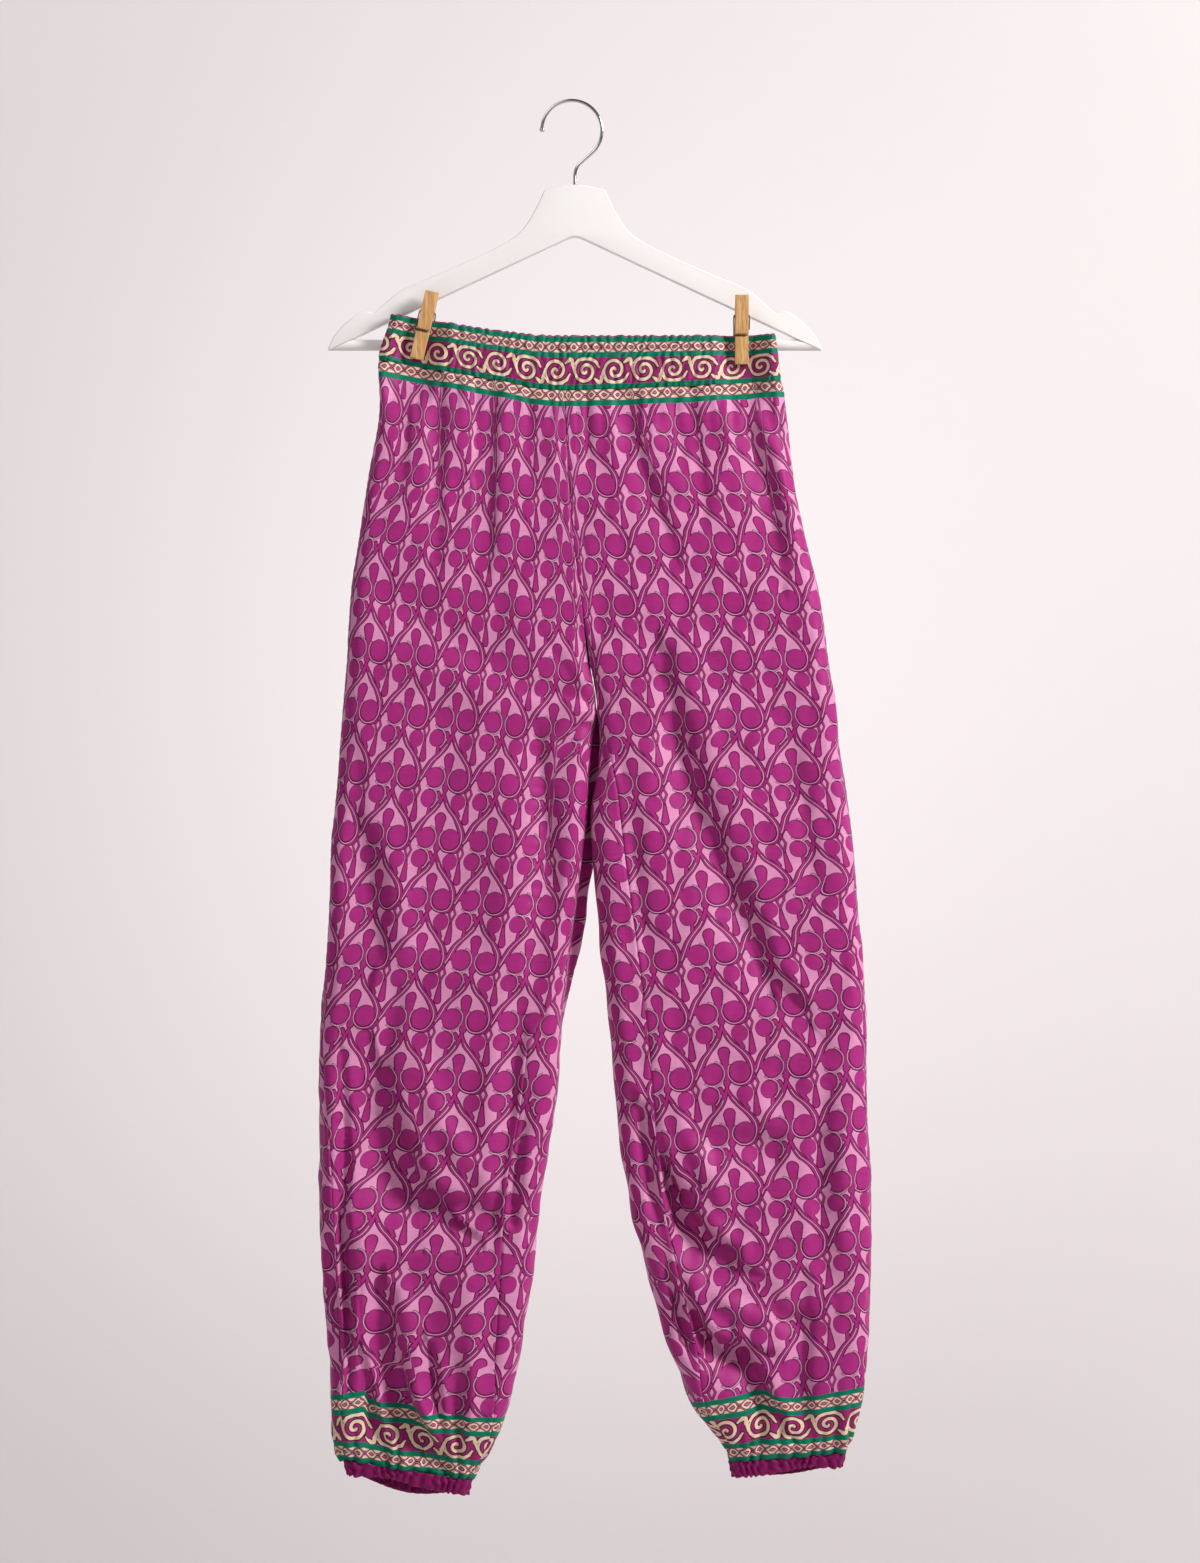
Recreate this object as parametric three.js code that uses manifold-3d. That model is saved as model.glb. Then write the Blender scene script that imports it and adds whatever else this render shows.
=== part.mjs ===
// Cuffed joggers with an elastic waist, held by two clothes pegs on the bar of a wooden hanger.
// Millimetres, +Z up, +Y away from the viewer, origin inside the hook's crown, where a rail carries it.
import * as THREE from "three";
import { mergeVertices } from "three/addons/utils/BufferGeometryUtils.js";
import Module from "manifold-3d";

// ---------- driving dimensions ----------
const seam = { gap: 0.45, casingGap: 0.5, cuffGap: 1, probe: 0.15 };
const cloth = { legWall: 1.2, bandWall: 1.4, cuffWall: 1.3, midY: -13.5 };
const rise = { top: -260.8, crotch: -546.3 }; // heights of the centre seam
const legEnd = {
  left: { outerTop: -233.8, outer: -1213, inner: -1231, backSag: 9 },
  right: { outerTop: -252.2, outer: -1206, inner: -1215, backSag: 4 },
};
const grid = {
  riseRows: 9,
  legRows: 18,
  front: { columns: 24, crowding: 0.3 },
  back: { columns: 12, crowding: 0.55 },
};
const waist = { waves: 28, depth: 1.0, rows: 2, flatAtPegs: 9, easeAtPegs: 18, pegHalf: 0.85 };
const cuff = { waves: 26, depth: 0.95, height: 13.5, tuck: 3 };
const pocket = { top: -334, bottom: -404, slit: 2.4, back: 7, front: 10, inside: 2.3, wall: 1, rows: 7 };
const hanger = { thick: 11, bevel: 1.4, halfLength: 222.3, apexZ: -119.7, tipZ: -224, neckZ: -74.7 };
const bar = { radius: 5, z: -218, tenonRadius: 3, tenonEnd: 212, fit: 0.3 };
const hook = { wire: 1.5, crown: 27, centreX: -2.7, tipBall: 2.5, intoWood: 11, fit: 0.4 };
const peg = {
  width: 12,
  handle: 20,
  jaw: 41,
  thick: 6.5,
  face: 1,
  handleEnd: 6.15,
  grooveLip: 0.8,
  barSeat: 3.7,
  pressY: -10,
};
const pegHollow = { radius: 11, depth: 2.4, at: -28 };
const spring = {
  wire: 0.55,
  coil: 2.7,
  turns: 4,
  groove: 3.75,
  armAt: 15,
  armDepth: 0.9,
  armFlat: 1,
  overEdge: 0.65,
  overFace: 0.3,
};
const pegs = {
  left: { x: -131.8, y: -11.4, z: -192, lean: 13.4 },
  right: { x: 149, y: -13.2, z: -195.5, lean: 0 },
};

// ---------- short tables ----------
// A row for each level cross-section: the side edges of both legs and half the depth from front to back.
// Above the crotch the inner edges are the centre seam.
const sections = {
  columns: ["z", "leftOuter", "leftInner", "rightInner", "rightOuter", "half"],
  rows: [
    [-190, -165, -10, -10, 178.5, 5.5],
    [-235, -176, -10, -10, 182.5, 6.5],
    [-270, -174.5, -9, -9, 188, 10],
    [-337, -184.5, -5.4, -5.4, 195.5, 14],
    [-391, -192.6, -1.5, -1.5, 206, 16],
    [-445, -200.5, 5.5, 5.5, 219, 17.5],
    [-500, -203.5, 12.5, 12.5, 226.5, 18.5],
    [-546.3, -207.5, 19.7, 19.7, 232.8, 18.5],
    [-575, -209.5, 15.6, 22.4, 236, 18.5],
    [-610, -212, 13.2, 17.6, 241.5, 18.5],
    [-635, -214.5, 12, 14, 245, 19],
    [-661, -217.5, 8.8, 14.6, 248.2, 19],
    [-715, -219, 2.4, 19, 252.5, 19.5],
    [-770, -222.3, -5.4, 25, 257, 20],
    [-823, -226.5, -11, 30.2, 260.3, 20],
    [-895, -228.6, -16.5, 36.9, 261, 20.5],
    [-967, -228.6, -28.8, 45, 264.6, 21],
    [-1039, -225, -36.8, 62.1, 264.6, 21],
    [-1111, -220.5, -46.5, 83.7, 261.9, 20],
    [-1158, -218.7, -57.6, 101, 256.5, 18],
    [-1190, -216, -67, 124, 249.3, 15],
    [-1206, -211, -74, 136, 242, 12],
    [-1213, -206.5, -79, 137.5, 240.5, 11],
    [-1231, -203, -92, 139.5, 239, 10.5],
    [-1250, -201.5, -99, 140, 238.5, 10.5],
  ],
};
// The waist casing's top and bottom edges, which dip between the pegs.
const casing = {
  columns: ["x", "top", "bottom"],
  rows: [
    [-176, -191.5, -233.5],
    [-126, -197.5, -241.5],
    [-75, -206, -250.5],
    [-15, -211.5, -260.5],
    [46, -211.5, -259],
    [112, -211.3, -256],
    [184, -209.7, -252],
  ],
};
// How far each side seam and inseam is rolled to the front, as millimetres of cloth, by height.
const rolled = {
  columns: ["z", "leftOuter", "leftInner", "rightInner", "rightOuter"],
  rows: [
    [-546.3, 0, 0, 0, 0],
    [-590, 0, 0, 22, 0],
    [-640, 0, 0, 38, 0],
    [-760, 0, 6, 44, 0],
    [-860, 13, 42, 46, 0],
    [-960, 25, 44, 44, 0],
    [-1110, 27, 36, 36, 0],
    [-1180, 18, 18, 18, 0],
    [-1240, 8, 8, 8, 0],
  ],
};
// Where the pegs press both layers together: the layers' middle, by height.
const pinch = {
  columns: ["z", "y"],
  rows: [
    [-190, -10.9],
    [-197, -10.1],
    [-218, -6.9],
    [-239, -8.0],
    [-262, -10],
    [-290, -13.5],
  ],
};
// Largest folds: a row for each, through three points, with its width and height (below zero is a trough).
const foldColumns = ["x0", "z0", "x1", "z1", "x2", "z2", "width", "height"];
const frontFolds = [
  [-147, -245, -150, -290, -153, -330, 7, -2.2],
  [-121, -250, -119, -310, -120, -375, 8, -2.8],
  [-71, -258, -72, -300, -74, -340, 7, -2],
  [48, -262, 53, -310, 58, -370, 7, -2.2],
  [104, -260, 108, -310, 112, -372, 7, -2.2],
  [152, -258, 151, -290, 149, -330, 7, -2],
  [167, -330, 182, -355, 190, -446, 8, -3],
  [-186, -655, -168, -710, -178, -760, 11, -5],
  [-36, -576, -30, -690, -43, -805, 14, -3],
  [-172, -867, -152, -955, -118, -986, 14, -8],
  [-141, -840, -118, -920, -84, -950, 14, 3],
  [-49, -884, -46, -940, -55, -990, 11, -4],
  [-205, -1000, -196, -1060, -172, -1195, 10, -5],
  [-150, -1060, -140, -1130, -137, -1210, 10, -5],
  [-96, -1120, -96, -1170, -106, -1225, 8, -3.5],
  [91, -547, 118, -665, 178, -785, 13, -7.5],
  [178, -785, 200, -830, 208, -890, 12, -3],
  [71, -906, 99, -985, 138, -1028, 13, -8],
  [95, -880, 130, -950, 165, -990, 14, 2.5],
  [91, -1017, 104, -1085, 155, -1126, 12, -7],
  [205, -1050, 202, -1130, 204, -1198, 9, -3.5],
  [160, -1120, 158, -1160, 159, -1210, 8, -3.5],
  [19, -540, -6, -528, -32, -532, 8, -2.5],
  [20, -540, 44, -524, 72, -520, 8, -2.5],
];
const backFolds = [
  [-132, -250, -136, -300, -140, -350, 9, -2.4],
  [-60, -258, -58, -300, -62, -350, 9, -2.2],
  [40, -262, 44, -310, 40, -360, 9, -2.2],
  [120, -258, 124, -300, 130, -360, 9, -2.4],
  [-90, -560, -120, -660, -168, -740, 15, -5],
  [110, -560, 140, -680, 190, -760, 15, -5],
  [-176, -880, -150, -960, -110, -1000, 15, -5],
  [80, -900, 120, -980, 170, -1010, 15, -5],
  [-180, -1040, -160, -1110, -150, -1200, 12, -4],
  [-90, -1060, -100, -1130, -112, -1215, 12, -4],
  [120, -1080, 160, -1130, 175, -1195, 12, -4],
  [215, -1040, 210, -1110, 205, -1190, 12, -3.5],
];

// ---------- small maths ----------
const mix = (a, b, t) => a + (b - a) * t;
const clamp01 = (t) => Math.min(1, Math.max(0, t));
const smooth = (t) => clamp01(t) ** 2 * (3 - 2 * clamp01(t));
const radians = THREE.MathUtils.degToRad;

// A table's column as a smooth curve over its first column, flat past both ends.
function curveOf(table, name) {
  const column = table.columns.indexOf(name);
  const upward = [...table.rows].sort((a, b) => a[0] - b[0]);
  const at = upward.map((row) => row[0]);
  const value = upward.map((row) => row[column]);
  const slope = at.map((_, i) => {
    if (i === 0 || i === at.length - 1) return 0;
    const before = (value[i] - value[i - 1]) / (at[i] - at[i - 1]);
    const after = (value[i + 1] - value[i]) / (at[i + 1] - at[i]);
    return before * after <= 0 ? 0 : (2 * before * after) / (before + after);
  });
  return (t) => {
    if (t <= at[0]) return value[0];
    if (t >= at.at(-1)) return value.at(-1);
    const i = at.findIndex((limit) => limit > t) - 1;
    const span = at[i + 1] - at[i];
    const u = (t - at[i]) / span;
    const rest = 1 - u;
    return (
      value[i] * (1 + 2 * u) * rest * rest +
      slope[i] * span * u * rest * rest +
      value[i + 1] * u * u * (3 - 2 * u) -
      slope[i + 1] * span * u * u * rest
    );
  };
}

const halfDepth = curveOf(sections, "half");
const casingTop = curveOf(casing, "top");
const casingBottom = curveOf(casing, "bottom");
const pinchY = curveOf(pinch, "y");

// ---------- the flattened tube that each leg and the waist hang as ----------
// Width of a rolled side edge for a tube of this half depth, and the length of cloth round it.
const rollWidth = (half) => 1.5 + 0.7 * half;
const rollLength = (width, half) => (Math.PI / 2) * Math.sqrt((width * width + half * half) / 2);

// How far the curve at the falling x1 edge turns: an eighth of a circle when level, a quarter when closed.
const edgeTurn = (fall) => (Math.PI / 2) * (0.5 + 0.5 * fall);

// One wall of a level section from x0 to x1, bulging half from the middle plane, at p millimetres of
// cloth from x0. fall says how far the x1 edge drops to the middle plane: 0 stays level, 1 closes the tube.
function wallAt({ x0, x1, half0, half1, fall }, p) {
  const direction = Math.sign(x1 - x0);
  const width0 = rollWidth(half0);
  const width1 = rollWidth(half1);
  const length0 = rollLength(width0, half0);
  const length1 = rollLength(width1, half1);
  const flat = Math.abs(x1 - x0) - width0 - width1;
  if (p < length0) {
    const turn = ((p / length0) * Math.PI) / 2;
    return { x: x0 + direction * width0 * (1 - Math.cos(turn)), out: half0 * Math.sin(turn) };
  }
  if (p < length0 + flat) {
    const along = (p - length0) / flat;
    return { x: x0 + direction * (width0 + p - length0), out: mix(half0, half1, along) };
  }
  const most = edgeTurn(fall);
  const turn = ((p - length0 - flat) / length1) * most;
  const across = (width1 * Math.sin(turn)) / Math.sin(most);
  const drop = (half1 * fall * (1 - Math.cos(turn))) / (1 - Math.cos(most));
  return { x: x0 + direction * (width0 + flat + across), out: half1 - drop };
}

const wallLength = ({ x0, x1, half0, half1 }) =>
  Math.abs(x1 - x0) -
  rollWidth(half0) -
  rollWidth(half1) +
  rollLength(rollWidth(half0), half0) +
  rollLength(rollWidth(half1), half1);

// How strongly the nearest peg holds the layers together at this place, 0 to 1.
function pegHold(x, z) {
  const held = Object.values(pegs).map((one) => {
    const pegX = one.x + (z - one.z) * Math.tan(radians(one.lean));
    return 1 - smooth((Math.abs(x - pegX) - waist.flatAtPegs) / waist.easeAtPegs);
  });
  return Math.max(...held) * smooth((z - pinch.rows.at(-1)[0]) / 45);
}

// A point of the cloth: side is -1 on the front wall and 1 on the back wall.
function clothPoint(x, z, out, side) {
  const hold = pegHold(x, z);
  const middle = mix(cloth.midY, pinchY(z), hold);
  return new THREE.Vector3(x, middle + side * mix(out, Math.min(out, waist.pegHalf), hold), z);
}

// Height of all folds of a table at a place on the wall.
function foldHeight(folds, x, z) {
  let height = 0;
  for (const fold of folds) {
    const f = Object.fromEntries(foldColumns.map((name, i) => [name, fold[i]]));
    let nearest = Infinity;
    let share = 0;
    const steps = 16;
    for (let i = 0; i <= steps; i++) {
      const t = i / steps;
      const bend = (a, b, c) => a * (1 - t) ** 2 + 2 * b * t * (1 - t) + c * t * t;
      const distance = Math.hypot(x - bend(f.x0, f.x1, f.x2), z - bend(f.z0, f.z1, f.z2));
      if (distance < nearest) [nearest, share] = [distance, t];
    }
    const ends = 0.35 + 0.65 * Math.sin(Math.PI * mix(0.12, 0.88, share));
    height += f.height * ends * Math.exp(-((nearest / f.width) ** 2));
  }
  return height;
}

// ---------- closed walls from a grid of points ----------
// rows[i][j] are the points of a wall's middle surface and lift[i][j] moves it along its normal.
// probes[i] are two points just inside the row's ends, which give the ends' slope; a wall without them
// closes each row on itself. outward is a hint of which way the outer face looks.
function wallGeometry(rows, lift, thick, probes, outward) {
  const around = probes === null;
  const rowCount = rows.length;
  const count = rows[0].length;
  const at = (i, j) => {
    const row = rows[Math.min(rowCount - 1, Math.max(0, i))];
    return around ? row[(j + count) % count] : row[Math.min(count - 1, Math.max(0, j))];
  };
  const positions = [];
  for (const face of [0.5, -0.5])
    for (let i = 0; i < rowCount; i++)
      for (let j = 0; j < count; j++) {
        const before = !around && j === count - 1 ? probes[i][1] : at(i, j - 1);
        const after = !around && j === 0 ? probes[i][0] : at(i, j + 1);
        const along = after.clone().sub(before);
        const down = at(i + 1, j).clone().sub(at(i - 1, j));
        const normal = along.cross(down).normalize();
        if (normal.dot(outward(at(i, j))) < 0) normal.negate();
        positions.push(...at(i, j).clone().addScaledVector(normal, lift(i, j) + face * thick).toArray());
      }
  const outer = (i, j) => i * count + (j % count);
  const inner = (i, j) => rowCount * count + outer(i, j);
  const index = [];
  const quad = (a, b, c, d) => index.push(a, b, c, a, c, d);
  const columns = around ? count : count - 1;
  for (let i = 0; i < rowCount - 1; i++)
    for (let j = 0; j < columns; j++) {
      quad(outer(i, j), outer(i + 1, j), outer(i + 1, j + 1), outer(i, j + 1));
      quad(inner(i, j), inner(i, j + 1), inner(i + 1, j + 1), inner(i + 1, j));
    }
  for (let j = 0; j < columns; j++) {
    quad(outer(0, j), outer(0, j + 1), inner(0, j + 1), inner(0, j));
    const last = rowCount - 1;
    quad(outer(last, j + 1), outer(last, j), inner(last, j), inner(last, j + 1));
  }
  if (!around)
    for (let i = 0; i < rowCount - 1; i++) {
      quad(outer(i + 1, 0), outer(i, 0), inner(i, 0), inner(i + 1, 0));
      const end = count - 1;
      quad(outer(i, end), outer(i + 1, end), inner(i + 1, end), inner(i, end));
    }
  const geometry = new THREE.BufferGeometry();
  geometry.setAttribute("position", new THREE.Float32BufferAttribute(positions, 3));
  geometry.setIndex(index);
  return facingOut(geometry);
}

// Turns every face round if the closed surface encloses a negative volume.
function facingOut(geometry) {
  const p = geometry.getAttribute("position");
  const index = geometry.getIndex().array;
  const corner = [new THREE.Vector3(), new THREE.Vector3(), new THREE.Vector3()];
  let volume = 0;
  for (let i = 0; i < index.length; i += 3) {
    corner.forEach((c, k) => c.fromBufferAttribute(p, index[i + k]));
    volume += corner[0].dot(corner[1].clone().cross(corner[2]));
  }
  if (volume < 0)
    for (let i = 0; i < index.length; i += 3) [index[i + 1], index[i + 2]] = [index[i + 2], index[i + 1]];
  geometry.computeVertexNormals();
  return geometry;
}

// ---------- leg panels ----------
const legs = {};
const centreSeam = curveOf(sections, "leftInner");
const aboveCrotch = (z) => z >= rise.crotch;
for (const side of ["left", "right"]) {
  const inseam = curveOf(sections, side + "Inner");
  legs[side] = {
    ...legEnd[side],
    outerX: curveOf(sections, side + "Outer"),
    innerX: (z) => (aboveCrotch(z) ? centreSeam(z) : inseam(z)),
    outerRoll: curveOf(rolled, side + "Outer"),
    innerRoll: curveOf(rolled, side + "Inner"),
    inward: side === "left" ? 1 : -1,
  };
}

// The heights of the rows at the centre seam and inseam, closer together round the crotch.
function innerHeights(leg) {
  const heights = [];
  for (let i = 0; i <= grid.riseRows; i++)
    heights.push(mix(rise.top, rise.crotch, Math.sin(((i / grid.riseRows) * Math.PI) / 2) ** 0.9));
  for (let i = 1; i <= grid.legRows; i++)
    heights.push(mix(rise.crotch, leg.inner, (i / grid.legRows) ** 1.06));
  return heights;
}

// How far the inner edge has turned down to the middle plane at this height: fully below the crotch.
const innerFall = (z) => smooth((rise.top - 190 - z) / (rise.top - 190 - rise.crotch));

// The level section of a leg whose row meets the centre seam or inseam at height zInner.
function legSection(leg, zInner) {
  const share = (zInner - rise.top) / (leg.inner - rise.top);
  const zOuter = mix(leg.outerTop, leg.outer, share);
  const half0 = halfDepth(zOuter) - cloth.legWall / 2;
  const half1 = halfDepth(zInner) - cloth.legWall / 2;
  const fall = innerFall(zInner);
  const level = Math.cos(edgeTurn(fall));
  const steep = Math.atan2(half1 * fall * (1 + level), rollWidth(half1) * level);
  const innerEdge = seam.gap / 2 + (cloth.legWall / 2) * Math.sin(steep);
  return {
    zOuter,
    zInner,
    share,
    x0: leg.outerX(zOuter) + (leg.inward * cloth.legWall) / 2,
    x1: leg.innerX(zInner) - leg.inward * innerEdge,
    half0,
    half1,
    fall,
  };
}

// A point of a leg's tube, p millimetres of cloth from the outer edge: below zero or past the wall's
// length it lies on the other wall.
function legPoint(leg, section, p, side) {
  const length = wallLength(section);
  let place = p;
  let wall = side;
  if (p < 0) [place, wall] = [-p, -side];
  if (p > length) [place, wall] = [2 * length - p, -side];
  const { x, out } = wallAt(section, place);
  const across = (x - section.x0) / (section.x1 - section.x0);
  const belly = (4 * across * (1 - across)) ** 2;
  const sag = wall > 0 ? leg.backSag * belly * section.share ** 8 : 0;
  const waistDip = casingBottom(x) - seam.casingGap - mix(leg.outerTop, rise.top, across);
  const z = mix(section.zOuter, section.zInner, across) - sag + waistDip * (1 - smooth(section.share * 9));
  return { point: clothPoint(x, z, out, wall), x, z, wall, out };
}

// A front or back panel. The edges stop half a seam gap short of the seam, at the same rows on both panels.
function legPanel(name, side, { columns, crowding }) {
  const leg = legs[name];
  const lifts = [];
  const probes = [];
  const rows = innerHeights(leg).map((zInner) => {
    const section = legSection(leg, zInner);
    const length = wallLength(section);
    const half = seam.gap / 2;
    const slit = name === "right" && side < 0 ? pocketSlit(section.zOuter) : 0;
    const first = side < 0 ? leg.outerRoll(section.zOuter) : -leg.outerRoll(section.zOuter);
    const turn = leg.innerRoll(zInner);
    const last = side < 0 ? length - turn : length + turn;
    const from = first + half + slit;
    const to = last - (section.fall === 1 ? half : 0);
    const liftRow = [];
    const points = [];
    for (let j = 0; j <= columns; j++) {
      const share = j / columns - (crowding * Math.sin((2 * Math.PI * j) / columns)) / (2 * Math.PI);
      const { point, x, z, wall, out } = legPoint(leg, section, mix(from, to, share), side);
      const edgeFade = Math.min(1, j / 2, (columns - j) / 2) * smooth(out / section.half0);
      liftRow.push(foldHeight(wall < 0 ? frontFolds : backFolds, x, z) * edgeFade);
      points.push(point);
    }
    lifts.push(liftRow);
    probes.push([from + seam.probe, to - seam.probe].map((p) => legPoint(leg, section, p, side).point));
    return points;
  });
  const outward = (p) => new THREE.Vector3(p.x - legMiddle(leg, p.z), (p.y - cloth.midY) * 6, 0);
  return wallGeometry(rows, (i, j) => lifts[i][j], cloth.legWall, probes, outward);
}

const legMiddle = (leg, z) => (leg.outerX(z) + leg.innerX(z)) / 2;

// The side pocket's slit: how much the front panel stops short of the side seam at this height.
function pocketSlit(z) {
  const along = (z - pocket.bottom) / (pocket.top - pocket.bottom);
  if (along <= 0 || along >= 1) return 0;
  return pocket.slit * Math.sin(Math.PI * along) ** 0.5;
}

// The facing seen in the slit: a strip of the leg's own section, moved inside both panels.
function pocketFacing() {
  const leg = legs.right;
  const columns = 4;
  const rows = [];
  const probes = [];
  for (let i = 0; i <= pocket.rows; i++) {
    const zOuter = mix(pocket.top, pocket.bottom, i / pocket.rows);
    const share = (zOuter - leg.outerTop) / (leg.outer - leg.outerTop);
    const section = legSection(leg, mix(rise.top, leg.inner, share));
    const at = (p) => legPoint(leg, section, p, -1).point;
    const row = [];
    for (let j = 0; j <= columns; j++) row.push(at(mix(-pocket.back, pocket.front, j / columns)));
    rows.push(row);
    probes.push([at(seam.probe - pocket.back), at(pocket.front - seam.probe)]);
  }
  const outward = (p) => new THREE.Vector3(1, (p.y - cloth.midY) * 0.3, 0);
  return wallGeometry(rows, () => -pocket.inside, pocket.wall, probes, outward);
}

// ---------- gathered casings ----------
// Uneven gathers: crests and hollows take turns, four columns to a wave.
const gather = (j, depth) => [0, 1, 0, -1][j % 4] * depth * (0.78 + 0.22 * Math.sin(1.9 * j + Math.sin(j)));
const unevenStep = (j, count) => (j + 0.2 * Math.sin(j * 0.9) * Math.sin((Math.PI * j) / count)) / count;

// Half of the waist casing, from side seam to side seam.
function waistCasing(side) {
  const columns = waist.waves * 4;
  const ends = { left: casing.rows[0][0], right: casing.rows.at(-1)[0] };
  const inset = cloth.bandWall / 2 + waist.depth / 2;
  const rows = [];
  const probes = [];
  for (let i = 0; i <= waist.rows; i++) {
    const down = i / waist.rows;
    const zLeft = mix(casingTop(ends.left), casingBottom(ends.left), down);
    const zRight = mix(casingTop(ends.right), casingBottom(ends.right), down);
    const section = {
      x0: legs.left.outerX(zLeft) + inset,
      x1: legs.right.outerX(zRight) - inset,
      half0: halfDepth(zLeft),
      half1: halfDepth(zRight),
      fall: 1,
    };
    const [from, to] = [seam.gap / 2, wallLength(section) - seam.gap / 2];
    const at = (p) => {
      const { x, out } = wallAt(section, p);
      return clothPoint(x, mix(casingTop(x), casingBottom(x), down), out, side);
    };
    const row = [];
    for (let j = 0; j <= columns; j++) row.push(at(mix(from, to, unevenStep(j, columns))));
    rows.push(row);
    probes.push([at(from + seam.probe), at(to - seam.probe)]);
  }
  const lift = (i, j) => {
    const { x, z } = rows[i][j];
    const endFade = Math.min(1, j / 4, (columns - j) / 4);
    return gather(j, waist.depth) * (1 - pegHold(x, z)) * endFade;
  };
  const outward = (p) => new THREE.Vector3(p.x * 0.02, side, 0);
  return wallGeometry(rows, lift, cloth.bandWall, probes, outward);
}

// A cuff casing: a gathered ring below the leg's last row.
function cuffCasing(name) {
  const leg = legs[name];
  const section = legSection(leg, leg.inner);
  const length = wallLength(section);
  const count = cuff.waves * 4;
  const rows = [0, 1].map((down) => {
    const row = [];
    for (let j = 0; j < count; j++) {
      const p = 2 * length * unevenStep(j, count);
      const { point, x } = legPoint(leg, section, p < length ? p : p - 2 * length, -1);
      const towards = (x - (section.x0 + section.x1) / 2) / (section.x1 - section.x0);
      point.x -= 2 * towards * leg.inward * cuff.tuck * down;
      point.y = mix(point.y, cloth.midY, 0.12 * down);
      point.z -= seam.cuffGap + cuff.height * down;
      row.push(point);
    }
    return row;
  });
  const middle = (section.x0 + section.x1) / 2;
  const outward = (p) => new THREE.Vector3(p.x - middle, (p.y - cloth.midY) * 5, 0);
  return wallGeometry(rows, (i, j) => gather(j, cuff.depth) - cuff.depth, cloth.cuffWall, null, outward);
}

// ---------- solids that are cut or joined ----------
const wasm = await Module();
wasm.setup();

function solidOf(geometry) {
  const bare = geometry.clone();
  for (const name of Object.keys(bare.attributes)) if (name !== "position") bare.deleteAttribute(name);
  const merged = mergeVertices(bare, 1e-4);
  return new wasm.Manifold(
    new wasm.Mesh({
      numProp: 3,
      vertProperties: new Float32Array(merged.attributes.position.array),
      triVerts: new Uint32Array(merged.index.array),
    }),
  );
}

function geometryOf(solid) {
  const mesh = solid.getMesh();
  const geometry = new THREE.BufferGeometry();
  geometry.setAttribute("position", new THREE.Float32BufferAttribute(Array.from(mesh.vertProperties), 3));
  geometry.setIndex(Array.from(mesh.triVerts));
  geometry.computeVertexNormals();
  return geometry;
}

// A round rod along X or Z.
function rod(radius, length, axis, centre, sides = 24) {
  const geometry = new THREE.CylinderGeometry(radius, radius, length, sides);
  if (axis === "x") geometry.rotateZ(Math.PI / 2);
  if (axis === "z") geometry.rotateX(Math.PI / 2);
  return geometry.translate(...centre);
}

// ---------- hanger ----------
// Half of the wooden outline from the neck to the tip: shoulder curve, notch and rounded end.
const armTop = [
  [27.5, -80],
  [36, -98],
  [50, -118],
  [74, -133],
  [117, -152.5],
  [154, -168.5],
  [170, -181],
];
const armEnd = [
  [180, -190],
  [189.5, -188],
  [204, -197.5],
  [216, -210.5],
];

const armSlope = Math.atan2(hanger.apexZ - hanger.tipZ, hanger.halfLength);

function hangerBody() {
  const inset = hanger.bevel;
  const [shoulderX, shoulderZ] = armTop[0];
  const underside = (x) => hanger.apexZ - Math.abs(x) * Math.tan(armSlope) + inset / Math.cos(armSlope);
  const tipX = hanger.halfLength - 1.8 * inset;
  const side = (list, sign) => list.map(([x, z]) => new THREE.Vector2(sign * (x - inset * 0.4), z - inset));
  const outline = new THREE.Shape();
  const [neckX, neckZ] = [shoulderX - inset * 0.4, shoulderZ - inset];
  outline.moveTo(-neckX, neckZ);
  outline.quadraticCurveTo(0, 2 * hanger.neckZ - neckZ - 2 * inset, neckX, neckZ);
  outline.splineThru(side(armTop.slice(1), 1));
  outline.splineThru(side(armEnd, 1));
  outline.lineTo(tipX, underside(tipX));
  outline.lineTo(0, underside(0));
  outline.lineTo(-tipX, underside(tipX));
  outline.splineThru(side([...armEnd].reverse(), -1));
  outline.splineThru(side([...armTop].reverse(), -1));
  const geometry = new THREE.ExtrudeGeometry(outline, {
    depth: hanger.thick - 2 * inset,
    bevelThickness: inset,
    bevelSize: inset,
    bevelSegments: 2,
    curveSegments: 3,
  });
  geometry.rotateX(Math.PI / 2);
  geometry.translate(0, hanger.thick / 2 - inset, 0);
  const tenonHole = rod(bar.tenonRadius + bar.fit, 2 * (bar.tenonEnd + bar.fit), "x", [0, 0, bar.z], 16);
  const stemHole = rod(hook.wire + hook.fit, 2 * hook.intoWood, "z", [0, 0, hanger.neckZ], 12);
  return geometryOf(solidOf(geometry).subtract(solidOf(tenonHole)).subtract(solidOf(stemHole)));
}

// The dowel: full width up to the slanted underside of each arm, with a tenon into the tip.
function hangerBar() {
  const clear = bar.fit / Math.cos(armSlope);
  let solid = solidOf(rod(bar.radius, 2 * bar.tenonEnd, "x", [0, 0, bar.z]));
  for (const sign of [-1, 1]) {
    const above = new THREE.BoxGeometry(2.4 * hanger.halfLength, 30, 80);
    above.translate(0, 0, 40 - clear);
    above.rotateY(sign * armSlope);
    above.translate(0, 0, hanger.apexZ);
    solid = solid.subtract(solidOf(above));
  }
  const tenon = rod(bar.tenonRadius, 2 * (bar.tenonEnd - bar.fit), "x", [0, 0, bar.z], 16);
  return geometryOf(solid.add(solidOf(tenon)));
}

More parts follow.
